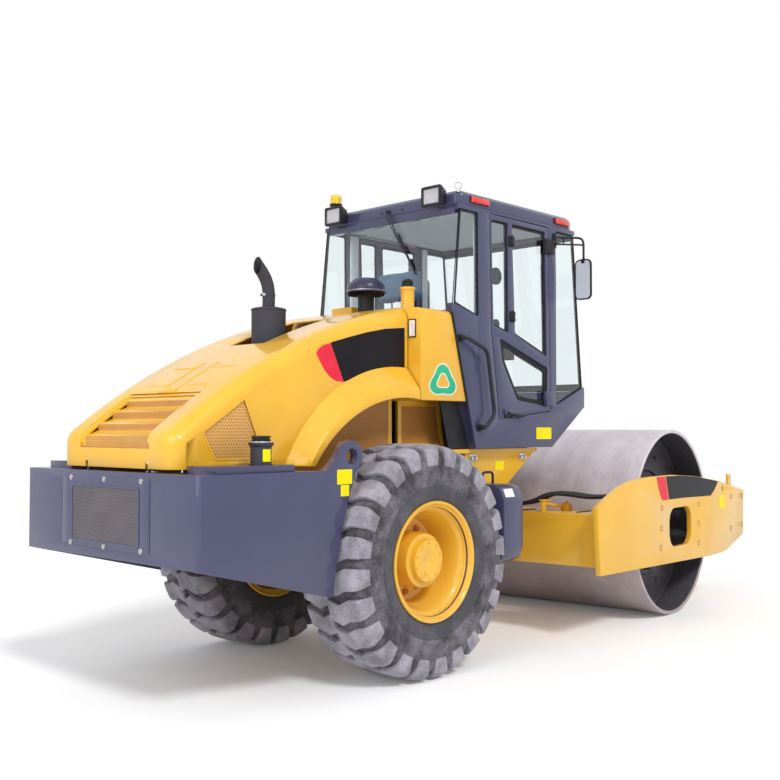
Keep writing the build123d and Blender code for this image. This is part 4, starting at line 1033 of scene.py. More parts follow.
def muffler():
    """Round can rolled from sheet with a folded seam at its top, its end cap a little domed."""
    x, y = MUFFLER.x, MUFFLER.y
    profile = [(1.75, 0), (1.75, 0.045), (1.955, 0.045), (1.96, 0.104), (1.968, 0.11),
               (2.288, 0.11), (2.291, 0.1135), (2.299, 0.1135), (2.302, 0.109), (2.306, 0.098),
               (2.313, 0.06), (2.317, 0.048), (2.317, 0)]
    can = spun("muffler", profile, (x, y, 0), UP, 72)
    seam = block("muffler_seam", (x + 0.1085, y - 0.006, 1.97), (x + 0.1125, y + 0.006, 2.287))
    group("muffler", [can, bevelled(seam, 0.0015)], 30, HOT_BLACK, replaces=("exhaust",))


def exhaust_pipe():
    """Tail pipe bent backwards and cut upright at its tip, with a wall one can look into."""
    x, y = MUFFLER.x, MUFFLER.y
    route = rounded([(x, y, 2.3), (x, y, 2.475), (x - 0.17, y, 2.655)], 0.42, 14)
    pipe = tube("exhaust_pipe", route, 0.0405, sides=40)
    with shaping(pipe) as mesh:
        pick(mesh, mesh.faces, lambda f: len(f.verts) > 4)
        bpy.ops.mesh.delete(type="FACE")
    for place, normal in (((x - 0.093, y, 2.59), (-1, 0, 0.05)), ((x, y, 2.318), DOWN)):
        with shaping(pipe):
            select_every()
            bpy.ops.mesh.bisect(plane_co=place, plane_no=normal, clear_outer=True)
    applied(pipe, "SOLIDIFY", thickness=0.0035, offset=-1)
    settle(smooth(tidy_faces(pipe), 40), HOT_BLACK)
    lining = tube("pipe_soot", [p for p in route if 2.36 < p.z < 2.52], 0.0366, sides=40)
    settle(smooth(lining, 40), PIPE_END)

    band = spun("pipe_clamp", [(2.382, 0.0412), (2.382, 0.0428), (2.398, 0.0428), (2.398, 0.0412)],
                (x, y, 0), UP, 48)
    screw = roller("clamp_screw", (x - 0.05, y - 0.02, 2.39), (x - 0.05, y + 0.022, 2.39),
                   0.0045, sides=12)
    ears = [block("clamp_ear", (x - 0.06, y + s, 2.382), (x - 0.039, y + s + 0.003, 2.398))
            for s in (-0.012, 0.009)]
    nut = hex_bolt("clamp_nut", (x - 0.05, y - 0.012, 2.39), (0, -1, 0), 0.014, 0.008)
    group("pipe_clamp", [band] + [bevelled(ear, 0.0008) for ear in ears], 30, HOT_BLACK)
    group("clamp_screw", [bevelled(screw, 0.0008), nut], 30, CLAMP)


def engine_cover():
    """Ribbed heat cover on the engine, round the foot of the muffler."""
    cover = block("engine_cover", (-0.86, -0.4, 1.748), (0.14, 0.4, 1.888))
    raised(cover, UP, 0.035, (0, 0, 0.012))
    parts = [bevelled(cover, 0.008)]
    for x in (-0.74, -0.31, -0.14, 0.03):
        rib = block("cover_rib", (x - 0.02, -0.34, 1.895), (x + 0.02, 0.34, 1.912))
        parts.append(bevelled(rib, 0.006))
    group("engine_cover", parts, 30, HOT_BLACK)


muffler()
exhaust_pipe()
engine_cover()

CLEANER = (0.29, -0.08)


def pre_cleaner():
    """Air pre-cleaner: ribbed stem, swirl vanes under the brim and a faceted dome."""
    x, y = CLEANER
    low = 2.325
    stem = spun("intake_stem", [(low, 0), (low, 0.066), (low + 0.008, 0.066), (low + 0.012, 0.054),
                                (2.444, 0.053), (2.452, 0.058), (2.462, 0.058), (2.462, 0)],
                (x, y, 0), UP, 40)
    ribs = []
    for a in around(12):
        rib = block("stem_rib", (0.051, -0.003, low + 0.012), (0.0575, 0.003, 2.444))
        ribs.append(moved(turned(bevelled(rib, 0.0008), a, "Z"), (x, y, 0)))
    ring = spun("stem_clip", [(low + 0.022, 0.054), (low + 0.022, 0.062), (low + 0.03, 0.062),
                              (low + 0.03, 0.054)], (x, y, 0), UP, 40)
    group("intake_stem", [stem, ring] + ribs, 30, ABS_BLACK, replaces=("pre_cleaner",))

    vanes = []
    for a in around(28):
        vane = block("vane", (0.058, -0.0015, 2.455), (0.126, 0.0015, 2.482))
        vanes.append(turned(turned(vane, 0.5, "X", (0, 0, 2.468)), a, "Z"))
    bowl = spun("vane_hub", [(2.45, 0), (2.45, 0.058), (2.462, 0.072), (2.484, 0.072),
                             (2.484, 0)], axis=UP, steps=40)
    vanes = moved(joined(vanes + [bowl], "intake_vanes"), (x, y, 0))
    settle(smooth(vanes, 30), ABS_BLACK)

    dome = spun("intake_dome", [(2.474, 0.118), (2.474, 0.136), (2.478, 0.1385), (2.484, 0.1385),
                                (2.488, 0.135), (2.492, 0.1355), (2.518, 0.131), (2.532, 0.125),
                                (2.552, 0.108), (2.562, 0.094), (2.57, 0.086), (2.575, 0.07),
                                (2.578, 0.035), (2.578, 0), (2.484, 0), (2.484, 0.118)],
                (x, y, 0), UP, 64)
    fins = []
    for a in around(8):
        fin = plate("dome_fin", [(0.084, -0.004, 2.569), (0.106, -0.004, 2.5535),
                                 (0.1245, -0.004, 2.533), (0.132, -0.004, 2.512),
                                 (0.126, -0.004, 2.51), (0.084, -0.004, 2.545)], (0, 0.008, 0))
        fins.append(moved(turned(bevelled(fin, 0.0012), a, "Z"), (x, y, 0)))
    group("intake_dome", [dome] + fins, 28, DOME_PLASTIC)
    trim = spun("intake_trim", [(2.4855, 0.1345), (2.4855, 0.1372), (2.4885, 0.1372),
                                (2.4885, 0.1345)], (x, y, 0), UP, 64)
    settle(smooth(trim, 30), ZINC)


pre_cleaner()


def fuel_filler():
    """Fuel filler on the tank box: rolled lip, lever cap with two discs and a lock."""
    x, y, z = 0.3, -0.46, 2.48
    collar = spun("fuel_collar", [(-0.016, 0.046), (-0.016, 0.0525), (-0.002, 0.0525),
                                  (0.001, 0.05), (0.001, 0), (-0.001, 0), (-0.001, 0.046)],
                  (x, y, z), UP, 40)
    settle(bevelled(collar, 0.001), YELLOW)
    cap = spun("fuel_cap", [(0.001, 0), (0.001, 0.038), (0.012, 0.04), (0.016, 0.036),
                            (0.03, 0.034), (0.034, 0.037), (0.04, 0.038), (0.046, 0.034),
                            (0.049, 0.02), (0.049, 0)], (x, y, z), UP, 40)
    grips = []
    for a in around(14):
        foot = Vector((x + 0.036 * cos(a), y + 0.036 * sin(a), z + 0.017))
        grips.append(roller("grip", foot, foot + Vector((0, 0, 0.013)), 0.0035, sides=8))
    lock = block("cap_lock", (x - 0.012, y - 0.026, z + 0.047), (x + 0.012, y + 0.026, z + 0.056))
    group("fuel_cap", [cap, bevelled(lock, 0.003)] + grips, 30, ABS_BLACK)


fuel_filler()


# ---------------------------------------------------------------- hood trim
def hood_height(x):
    """The hood's top line, the arc that the CAD hood is drawn with."""
    return -1.849 + sqrt(4.258 ** 2 - (x - 0.98) ** 2)


def cross_bar(x0, x1, y0, y1, tall):
    """A flat bar pressed up across the hood's top, its edges eased."""
    z0, z1 = hood_height(x0), hood_height(x1)
    bar = plate("swage", [(x0, y0, z0 - 0.003), (x1, y0, z1 - 0.003), (x1, y1, z1 - 0.003),
                          (x0, y1, z0 - 0.003)], (0, 0, tall + 0.003))
    return bevelled(bar, tall * 0.45)


def hood_pressings():
    """Handle notch at the head of the louvres, a middle band that runs up from it and short
    bars either side, all pressed up from the hood's top."""
    bars = [cross_bar(-1.306, -1.284, -0.085, 0.085, 0.014)]
    for k in range(9):
        x = -1.284 + 0.035 * k
        for y in (-0.072, 0.064):
            bars.append(cross_bar(x, x + 0.0355, y, y + 0.008, 0.004))
    for y0, y1 in ((-0.3, -0.085), (0.085, 0.3)):
        for x in (-1.235, -1.035):
            bars.append(cross_bar(x, x + 0.012, y0, y1, 0.004))
    group("hood_pressings", bars, 40, YELLOW, "hood")


hood_pressings()


HOOD_SIDE_Y = 0.5726
DECAL = [(0.148, 2.19), (-0.032, 2.172), (-0.205, 2.137), (-0.371, 2.094), (-0.503, 2.058),
         (-0.514, 2.051), (-0.403, 1.819), (-0.3, 1.852), (-0.191, 1.881), (-0.02, 1.908),
         (0.148, 1.922)]
WEDGE = [(-0.5155, 2.0505), (-0.574, 2.036), (-0.612, 2.012), (-0.633, 1.985), (-0.61, 1.945),
         (-0.567, 1.887), (-0.52, 1.845), (-0.468, 1.822), (-0.4045, 1.8185)]


def hood_decals():
    """Plain black field with a red leading wedge, on both sides of the hood."""
    for side, sign in SIDES.items():
        for part, shape, finish in (("decal", DECAL, BLACK_FILM), ("wedge", WEDGE, RED_FILM)):
            settle(plate(f"hood_{part}_{side}", on_side(shape, sign * HOOD_SIDE_Y),
                         (0, sign * 0.0008, 0)), finish, "hood")


hood_decals()


def vent_frames():
    """Pressed border round the mesh window in each side of the hood."""
    vent = [(-1.171, 1.711), (-1.017, 1.357), (-1.382, 1.36), (-1.465, 1.517)]
    for side, sign in SIDES.items():
        ring = ring_points(on_side(vent, sign * 0.5715), 0.014)
        border = loop_of(f"vent_border_{side}", ring, fill=True)
        with shaping(border):
            select_every()
            bpy.ops.mesh.inset(thickness=0.012, depth=0)
            bpy.ops.mesh.delete(type="FACE")
            select_every()
            pushed((0, sign * 0.004, 0))
        settle(bevelled(tidy_faces(border), 0.0018), YELLOW, "hood")


vent_frames()


def latch():
    """Recessed hood latch with a bright plate, on the tank box beside the hood's edge."""
    frame_piece = block("latch_frame", (0.183, -0.637, 2.128), (0.1905, -0.574, 2.249))
    raised(frame_piece, BACK, 0.006, (0.004, 0, 0))
    settle(bevelled(frame_piece, 0.002), ABS_BLACK)
    tongue = block("latch_plate", (0.1815, -0.63, 2.136), (0.1885, -0.581, 2.241))
    raised(tongue, BACK, 0.012, (0.002, 0, 0))
    lock = roller("latch_lock", (0.1812, -0.606, 2.215), (0.186, -0.606, 2.215), 0.007, sides=20)
    group("latch_plate", [bevelled(tongue, 0.002), bevelled(lock, 0.001)], 30, NYLON)


latch()


def clover(centre, y, size, lobe):
    """A closed outline with three soft lobes, on a plane of constant y."""
    x, z = centre
    return [(x + 1.25 * (size + lobe * cos(3 * (a - pi / 2))) * cos(a), y,
             z + (size + lobe * cos(3 * (a - pi / 2))) * sin(a)) for a in around(72)]


def green_sticker(side, sign):
    """A bare three-lobed ring in green on a white backing that shows as its edge."""
    centre = (0.41, 1.845)
    for part, grow, y, finish in (("backing", 0.008, 0.6775, WHITE_FILM),
                                  ("ring", 0, 0.6781, GREEN_FILM)):
        y *= sign
        ring = framed(f"sticker_{part}_{side}", clover(centre, y, 0.096 + grow, 0.017),
                      clover(centre, y, 0.05 - grow, 0.008), (0, sign * 0.0006, 0))
        settle(ring, finish)


for side, sign in SIDES.items():
    green_sticker(side, sign)


# ---------------------------------------------------------------- cab glass and seals
CAB_SIDE_Y = 0.667
W_REAR = [(0.95, 3.01), (0.972, 2.262), (1.152, 2.216), (1.146, 3.01)]
W_MAIN = [(1.192, 3.01), (1.226, 2.208), (1.622, 2.07), (1.606, 3.01)]
W_LOW = [(1.042, 2.176), (1.078, 2.004), (1.25, 1.738), (1.62, 1.7), (1.634, 1.985)]
QUARTER = [(0.553, 2.382), (0.812, 2.303), (0.806, 3.036), (0.616, 3.036)]
CORNER = [(1.741, 1.706), (2.106, 1.855), (2, 3.036), (1.741, 3.036)]


def window_seal(name, points, y, body, wide, radius=0.022):
    """Extruded rubber seal round a window."""
    edge = on_side(points, y)
    seal = framed(name, ring_points(grown(edge, 0.004), radius),
                  ring_points(grown(edge, -wide), radius), (0, 0.006 if y > 0 else -0.006, 0),
                  0.002)
    settle(seal, SEAL, body)


def glass_border(name, points, y, body, wide):
    """Black ceramic border fired onto the inner face of a glass."""
    edge = on_side(points, y)
    border = framed(name, ring_points(edge, 0.02), ring_points(grown(edge, -wide), 0.02),
                    (0, -0.0012 if y > 0 else 0.0012, 0))
    settle(border, FRIT, body)


# Per window: seal's plane, width and radius, then border's plane and width.
WINDOWS = {"rear": (W_REAR, "door", 0.651, 0.016, 0.022),
           "main": (W_MAIN, "door", 0.651, 0.016, 0.022),
           "low": (W_LOW, "door", 0.651, 0.034, 0.055),
           "quarter": (QUARTER, "rear_unit", 0.653, 0.008, 0.022),
           "corner": (CORNER, "rear_unit", 0.653, 0.008, 0.022)}
BORDERS = {"low": (0.6459, 0.045), "main": (0.6459, 0.024), "quarter": (0.6486, 0.018),
           "corner": (0.6486, 0.03)}
for side, sign in SIDES.items():
    for name, (shape, carrier, y, wide, radius) in WINDOWS.items():
        body = f"door_{side}" if carrier == "door" else carrier
        window_seal(f"seal_{name}_{side}", shape, sign * y, body, wide, radius)
        if name in BORDERS:
            y, wide = BORDERS[name]
            glass_border(f"frit_{name}_{side}", shape, sign * y, body, wide)


def pane_bands():
    """Black borders of the rear and front glasses: bottom band, top band and upright seams."""
    for name, (low, high), face in (("rear", ((0.532, 2.32), (0.609, 3.036)), -1),
                                    ("front", ((2.12, 1.828), (1.998, 3.036)), 1)):
        def on(t, out=0.0008):
            x = low[0] + (high[0] - low[0]) * t
            return x + face * out, low[1] + (high[1] - low[1]) * t
        bands = [((0, 0.045), 0.655), ((0.965, 1), 0.655)] if face > 0 else [((0, 0.028), 0.62),
                                                                             ((0.972, 1), 0.62)]
        pieces = []
        for (t0, t1), half in bands:
            (x0, z0), (x1, z1) = on(t0), on(t1)
            pieces.append(plate("band", [(x0, -half, z0), (x0, half, z0), (x1, half, z1),
                                         (x1, -half, z1)], (face * 0.001, 0, 0)))
        (x0, z0), (x1, z1) = on(0), on(1)
        for sign in (-1, 1):
            y0, y1 = sign * 0.6505, sign * 0.6555
            pieces.append(plate("band", [(x0, y0, z0), (x0, y1, z0), (x1, y1, z1), (x1, y0, z1)],
                                (face * 0.001, 0, 0)))
        settle(joined(pieces, f"{name}_glass_border"), FRIT)


pane_bands()


# ---------------------------------------------------------------- doors
def door_trim(side, sign):
    """Outside of a door: window hinges, recessed latch with its lever, hinge covers."""
    body = f"door_{side}"
    y = sign * CAB_SIDE_Y
    hinges = []
    for x0, x1, z0, z1 in ((1.15, 1.212, 2.846, 2.918), (1.158, 1.22, 2.302, 2.374)):
        leaf = block("window_hinge", (x0, y, z0), (x1, y + sign * 0.01, z1))
        raised(leaf, (0, sign, 0), 0.008, (0, sign * 0.004, 0))
        middle = (x0 + x1) / 2
        pin = roller("window_hinge_pin", (middle, y + sign * 0.013, z0 - 0.006),
                     (middle, y + sign * 0.013, z1 + 0.006), 0.009, sides=16)
        hinges += [bevelled(leaf, 0.002), bevelled(pin, 0.0015)]
        for dz in (0.014, z1 - z0 - 0.014):
            for x in (x0 + 0.011, x1 - 0.011):
                hinges.append(hex_bolt("hinge_screw", (x, y + sign * 0.0135, z0 + dz),
                                       (0, sign, 0), 0.01, 0.004, washer=False))
    group(f"window_hinges_{side}", hinges, 30, ABS_BLACK, body)
    dish = framed(f"latch_dish_{side}", ring_points([(1.095, y, 1.61), (1.19, y, 1.61),
                                                     (1.19, y, 1.668), (1.095, y, 1.668)], 0.018),
                  ring_points([(1.103, y, 1.618), (1.182, y, 1.618), (1.182, y, 1.66),
                               (1.103, y, 1.66)], 0.012), (0, sign * 0.009, 0), 0.002)
    knob = roller("latch_knob", (1.118, y, 1.64), (1.118, y + sign * 0.022, 1.64), 0.015, sides=28)
    lever = tube("latch_lever", [(1.118, y + sign * 0.024, 1.641), (1.2, y + sign * 0.03, 1.63),
                                 (1.3, y + sign * 0.024, 1.622)], 0.0085, 0.06, 12)
    tip = roller("lever_tip", (1.285, y + sign * 0.001, 1.623), (1.285, y + sign * 0.024, 1.623),
                 0.0065, sides=16)
    parts = [dish, bevelled(knob, 0.003), lever, bevelled(tip, 0.001)]
    group(f"door_latch_{side}", parts, 35, ABS_BLACK, body)
    for level, z, finish in (("high", 2.9, ABS_BLACK), ("low", 1.76, SLATE)):
        cover = block(f"hinge_cover_{level}_{side}", (1.578, y, z - 0.054),
                      (1.694, y + sign * 0.0275, z + 0.054))
        raised(cover, (0, sign, 0), 0.01, (0, sign * 0.003, 0))
        settle(smooth(bevelled(cover, 0.003), 30), finish, body)


def door_swage(side, sign):
    """Pressed lines along a door's lower edge, raised a little from the skin."""
    y = sign * CAB_SIDE_Y
    line = [(1.062, 1.69), (1.075, 1.606), (1.64, 1.672)]
    band = tube(f"door_swage_{side}", on_side(line, y), 0.0035, 0.03, 8)
    settle(smooth(band, 60), SLATE, f"door_{side}")


for side, sign in SIDES.items():
    door_trim(side, sign)
    door_swage(side, sign)


def cab_fans():
    """Two round fans inside the cab's right rear side, seen through the door's window."""
    for z, r in ((2.63, 0.062), (2.285, 0.034)):
        y = -0.575
        ring = spun("fan_ring", [(0, r - 0.014), (0, r), (0.016, r), (0.022, r - 0.004),
                                 (0.022, r - 0.012)], (1.1, y - 0.02, z), (0, 1, 0), 40)
        hub = spun("fan_hub", [(0.004, 0), (0.004, 0.02), (0.02, 0.02), (0.024, 0.012),
                               (0.024, 0)], (1.1, y - 0.02, z), (0, 1, 0), 28)
        blades = []
        for a in around(9):
            blade = block("fan_blade", (-0.005, -0.001, 0.016), (0.005, 0.001, r - 0.012))
            blade = turned(turned(blade, 0.5, "Z"), a, "Y")
            blades.append(moved(blade, (1.1, y - 0.008, z)))
        back = spun("fan_back", [(0.016, 0), (0.016, r - 0.012), (0.022, r - 0.012), (0.022, 0)],
                    (1.1, y - 0.02, z), (0, 1, 0), 32)
        stem = tube("fan_arm", [(1.1, y, z), (1.1, y + 0.05, z - 0.03),
                                (0.98, y + 0.06, z - 0.05)], 0.009, 0.03, 12)
        name = f"cab_fan_{round(z * 1000)}"
        group(name, [ring, hub, back, stem] + blades, 30, ABS_BLACK)


cab_fans()


# ---------------------------------------------------------------- roof: lamps, beacon, ring, wiper
def lamp_shape(x, y, z, face, name):
    """Work lamp: flared black housing with ribs, bezel, reflector bowl and a clear glass."""
    def ring(depth, half_w, half_h, radius):
        px = x - face * depth
        return ring_points([(px, y - half_w, z - half_h), (px, y + half_w, z - half_h),
                            (px, y + half_w, z + half_h), (px, y - half_w, z + half_h)], radius, 4)
    sections = [ring(0, 0.071, 0.053, 0.01), ring(0, 0.086, 0.068, 0.014),
                ring(0.004, 0.088, 0.07, 0.016), ring(0.022, 0.088, 0.07, 0.016),
                ring(0.026, 0.084, 0.066, 0.016), ring(0.03, 0.084, 0.066, 0.016),
                ring(0.092, 0.064, 0.052, 0.02), ring(0.098, 0.05, 0.04, 0.018)]
    shell = lofted(name, sections)
    throat = bridged([loop_of("throat", sections[0]),
                      loop_of("throat", ring(0.014, 0.066, 0.048, 0.01))], "throat")
    group(name, [shell, throat], 32, LAMP_SHELL)

    bowl = loop_of(f"{name}_bowl", [(x - face * 0.014, y + 0.066 * cos(a), z + 0.048 * sin(a))
                                    for a in around(32)], fill=True)
    with shaping(bowl) as mesh:
        for grow, depth in ((0.01, 0.01), (0.014, 0.012), (0.014, 0.008), (0.01, 0.002)):
            bpy.ops.mesh.select_mode(type="FACE")
            pick(mesh, mesh.faces, lambda f: len(f.verts) > 4)
            bpy.ops.mesh.inset(thickness=grow, depth=0)
            bpy.ops.mesh.select_mode(type="FACE")
            pick(mesh, mesh.faces, lambda f: len(f.verts) > 4)
            bpy.ops.transform.translate(value=(-face * depth, 0, 0))
    plate_edge = framed(f"{name}_field", ring(0.0138, 0.0665, 0.0485, 0.01),
                        ring(0.0138, 0.064, 0.0465, 0.024), (-face * 0.001, 0, 0))
    bulb = roller(f"{name}_bulb", (x - face * 0.044, y, z), (x - face * 0.024, y, z), 0.012, 20)
    raised(bulb, (face, 0, 0), 0.003, (face * 0.004, 0, 0))
    group(f"{name}_bowl", [bowl, plate_edge, bulb], 50, SILVER)
    lens = plate(f"{name}_lens", ring(0.01, 0.0685, 0.0505, 0.008), (face * 0.004, 0, 0))
    settle(bevelled(lens, 0.001), LAMP_GLASS)


LAMP_Z = 3.13
for side, sign in SIDES.items():
    lamp_shape(0.505, sign * 0.487, LAMP_Z, -1, f"rear_lamp_{side}")
    lamp_shape(2.165, sign * 0.4, LAMP_Z, 1, f"front_lamp_{side}")


def lamp_brackets():
    """Strap brackets that hold the work lamps to the roof, and a round boss under each."""
    straps = []
    for x0, x1, wide in ((0.592, 0.665, 0.487), (2.02, 2.078, 0.4)):
        for y in (-wide, wide):
            strap = block("lamp_strap", (x0, y - 0.02, 3.166), (x1, y + 0.02, 3.1725))
            bolt = hex_bolt("strap_bolt", ((x0 + x1) / 2 + 0.008, y, 3.1725), UP, 0.016, 0.006)
            straps += [bevelled(strap, 0.002), bolt]
    group("lamp_straps", straps, 30, BLACK, replaces=("work_lamps",))


lamp_brackets()


def marker(x0, x1, sign, name):
    """Red side marker: black base, moulded lens with end caps and a middle rib."""
    y, z0, z1 = sign * 0.667, 3.09, 3.136
    base = block(f"{name}_base", (x0, y, z0), (x1, y + sign * 0.008, z1))
    settle(bevelled(base, 0.002), ABS_BLACK)
    lens = block(name, (x0 + 0.003, y + sign * 0.007, z0 + 0.003),
                 (x1 - 0.003, y + sign * 0.02, z1 - 0.003))
    raised(lens, (0, sign, 0), 0.006, (0, sign * 0.005, 0))
    middle = (x0 + x1) / 2
    rib = block("lens_rib", (middle - 0.003, y + sign * 0.012, z0 + 0.005),
                (middle + 0.003, y + sign * 0.0255, z1 - 0.005))
    screws = [hex_bolt("lens_screw", (x, y + sign * 0.024, (z0 + z1) / 2), (0, sign, 0), 0.007,
                       0.0015, washer=False) for x in (x0 + 0.012, x1 - 0.012)]
    return group(name, [bevelled(lens, 0.003), bevelled(rib, 0.001)] + screws, 40, RED_LENS)


markers = [marker(x0, x1, sign, f"marker_{side}_{round(x0 * 1000)}")
           for x0, x1 in ((0.712, 0.912), (1.733, 1.913)) for side, sign in SIDES.items()]
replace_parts(markers[0], "marker_lamps")


def beacon():
    """Flashing beacon: stem with a spring clip, black collar, ribbed amber dome."""
    x, y, z = 0.65, 0.602, 3.167
    post = spun("beacon_post", [(0, 0), (0, 0.04), (0.006, 0.04), (0.01, 0.034),
                                (0.012, 0.016), (0.066, 0.0155), (0.07, 0.03), (0.074, 0.048),
                                (0.086, 0.05), (0.09, 0.047), (0.09, 0)], (x, y, z), UP, 40)
    settle(smooth(post, 30), ABS_BLACK)
    profile = [(0.088, 0), (0.088, 0.044)]
    for k in range(6):
        base = 0.092 + k * 0.008
        profile += [(base, 0.0445), (base + 0.003, 0.0425), (base + 0.006, 0.0445)]
    profile += [(0.144, 0.0432), (0.155, 0.038), (0.162, 0.026), (0.1648, 0.012), (0.165, 0)]
    dome = spun("beacon_dome", profile, (x, y, z), UP, 48)
    settle(smooth(dome, 50), AMBER_LENS, replaces=("beacon",))


beacon()


def lifting_ring():
    """Forged eye on the roof's right side."""
    x, y, z = 0.62, -0.64, 3.15
    ring = torus("ring", 0.023, 0.0045, (36, 12), location=(x, y, z + 0.048),
                 rotation=(pi / 2, 0, -0.8))
    foot = roller("ring_foot", (x, y, z), (x, y, z + 0.027), 0.011, 24)
    raised(foot, UP, 0.004, (0, 0, 0.004))
    group("lifting_ring", [ring, bevelled(foot, 0.001)], 40, ZINC)


lifting_ring()


def wiper():
    """Rear window wiper: motor boss and spray jet under the roof edge, arm, spine and blade."""
    def on_pane(y, z, out):
        return Vector((0.532 + (z - 2.32) * 0.1075 - out, y, z))
    pivot = on_pane(-0.004, 3.099, 0.03)
    boss = roller("wiper_boss", pivot + Vector((0.026, 0, 0)), pivot - Vector((0.006, 0, 0)),
                  0.016, 28)
    nut = hex_bolt("wiper_nut", pivot - Vector((0.006, 0, 0)), BACK, 0.016, 0.006)
    jets = [roller("wash_jet", on_pane(y, 3.099, -0.02), on_pane(y, 3.099, 0.022), 0.008, 20)
            for y in (0.06, -0.139)]
    arm = tube("wiper_arm", [pivot, on_pane(-0.105, 2.935, 0.034), on_pane(-0.205, 2.775, 0.026)],
               0.006, 0.05, 12)
    link = tube("wiper_link", [on_pane(0.016, 3.08, 0.028), on_pane(-0.085, 2.935, 0.03),
                               on_pane(-0.198, 2.77, 0.024)], 0.0035, 0.05, 8)
    spine = tube("wiper_spine", [on_pane(-0.112, 2.925, 0.013), on_pane(-0.205, 2.772, 0.021),
                                 on_pane(-0.298, 2.625, 0.013)], 0.0045, 0.1, 10)
    blade = tube("wiper_blade", [on_pane(-0.106, 2.935, 0.007), on_pane(-0.303, 2.612, 0.007)],
                 0.005, 0, 8)
    parts = [bevelled(boss, 0.003), nut, arm, link, spine, blade]
    group("wiper", parts + [bevelled(jet, 0.002) for jet in jets], 35, BLACK)


wiper()


# ---------------------------------------------------------------- mirrors and rails
def mirror(side, sign):
    """Mirror head: moulded shell with a rolled rim, convex glass facing backwards, ladder arm."""
    x, y, low, high, half = 1.905, sign * 0.815, 2.512, 2.822, 0.073

    def ring(px, grow, radius=0.046):
        return ring_points([(px, y - half - grow, low - grow), (px, y + half + grow, low - grow),
                            (px, y + half + grow, high + grow),
                            (px, y - half - grow, high + grow)], radius + grow, 6)
    sections = [ring(x - 0.009, -0.011), ring(x - 0.014, -0.009), ring(x - 0.014, -0.002),
                ring(x - 0.01, 0), ring(x + 0.002, -0.001), ring(x + 0.01, -0.01),
                ring(x + 0.014, -0.03)]
    shell = lofted("mirror_shell", sections)
    upper = tube("arm", [(1.726, sign * 0.677, 2.985), (x, y, 2.985), (x, y, 2.8)], 0.009, 0.05,
                 14)
    lower = tube("arm", [(1.726, sign * 0.677, 2.932), (x - 0.012, y - sign * 0.006, 2.932),
                         (x - 0.002, y, 2.925)], 0.007, 0.02, 12)
    rungs = [tube("rung", [Vector((1.726, sign * 0.677, z0)).lerp(Vector((x, y, z0)), t)
                           for z0 in (2.985, 2.932)], 0.005, 0, 8) for t in (0.3, 0.62)]
    clip = block("arm_clip", (x - 0.013, y - 0.016, 2.79), (x + 0.012, y + 0.016, 2.826))
    foot = block("arm_foot", (1.712, sign * 0.667, 2.9), (1.74, sign * 0.679, 3.016))
    knuckle = roller("arm_knuckle", (1.726, sign * 0.678, 2.912), (1.726, sign * 0.678, 3.004),
                     0.012, 20)
    parts = [shell, upper, lower, bevelled(clip, 0.003), bevelled(foot, 0.003),
             bevelled(knuckle, 0.002)] + rungs
    group(f"mirror_{side}", parts, 40, ABS_BLACK)
    glass = plate(f"mirror_glass_{side}", ring(x - 0.0095, -0.0105), (-0.002, 0, 0))
    return settle(smooth(glass, 40), MIRROR)


mirror("left", 1)
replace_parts(mirror("right", -1), "mirrors")


def grab_rail(side, sign):
    """Bent tube rail with rubber sleeves at its feet, held by flanged screws."""
    y, wall = sign * 0.729, sign * 0.667
    route = [(0.6, wall, 2.148), (0.6, y, 2.148), (0.824, y, 2.074), (0.905, y, 1.627),
             (0.8, y, 1.54), (0.8, wall, 1.54)]
    rail = tube("rail", route, 0.0135, 0.09, 20)
    feet = []
    for x, z in ((0.6, 2.148), (0.8, 1.54)):
        flange = roller("rail_foot", (x, wall, z), (x, wall + sign * 0.009, z), 0.03, 28)
        sleeve = roller("rail_sleeve", (x, wall + sign * 0.009, z), (x, wall + sign * 0.034, z),
                        0.0185, 24)
        feet += [bevelled(flange, 0.002), bevelled(sleeve, 0.002)]
        for a in (0.6, 0.6 + pi):
            feet.append(hex_bolt("rail_screw", (x + 0.022 * cos(a), wall + sign * 0.009,
                                                z + 0.022 * sin(a)), (0, sign, 0), 0.009, 0.004))
    return group(f"grab_rail_{side}", [rail] + feet, 35, BLACK)


grab_rail("left", 1)
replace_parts(grab_rail("right", -1), "grab_rails")


# ---------------------------------------------------------------- round the cab's foot
def cab_foot(side, sign):
    """Black panel in the dark gap between tank box and cab, partly black parts and partly painted
    shade; rubber strip on the box's slanted edge.
    """
    y = sign * 0.6
    # Painted shade, in part: the black panel fills the gap where it lies in shade.
    panel = plate(f"painted_shade_infill_{side}", [(x, y, z) for x, z in ((0.648, 1.716), (0.749, 1.49),
                                                            (0.77, 1.398), (0.56, 1.398),
                                                            (0.47, 1.716))], (0, -sign * 0.012, 0))
    settle(bevelled(panel, 0.002), ABS_BLACK)
    strip = tube(f"edge_rubber_{side}", [(0.503, sign * 0.677, 2.314),
                                         (0.66, sign * 0.677, 1.722)], 0.01, 0, 12)
    settle(smooth(strip, 60), SEAL)
    pads = []
    y = sign * 0.5795
    for x, z in ((0.838, 1.33), (1.42, 1.326)):
        pad = block("mount_pad", (x - 0.04, y, z - 0.026), (x + 0.04, y + sign * 0.008, z + 0.026))
        pads.append(bevelled(pad, 0.004))
        for dx in (-0.02, 0.02):
            pads.append(hex_bolt("mount_bolt", (x + dx, y + sign * 0.008, z - 0.004),
                                 (0, sign, 0), 0.024, 0.013))
    group(f"mount_bolts_{side}", pads, 30, ZINC)


for side, sign in SIDES.items():
    cab_foot(side, sign)
    blank_label(f"cab_label_{side}", sign * 0.6675, (1.484, 1.455), (1.676, 1.541))
    blank_label(f"flange_label_{side}", sign * 0.5805, (1.1, 1.235), (1.2, 1.3))


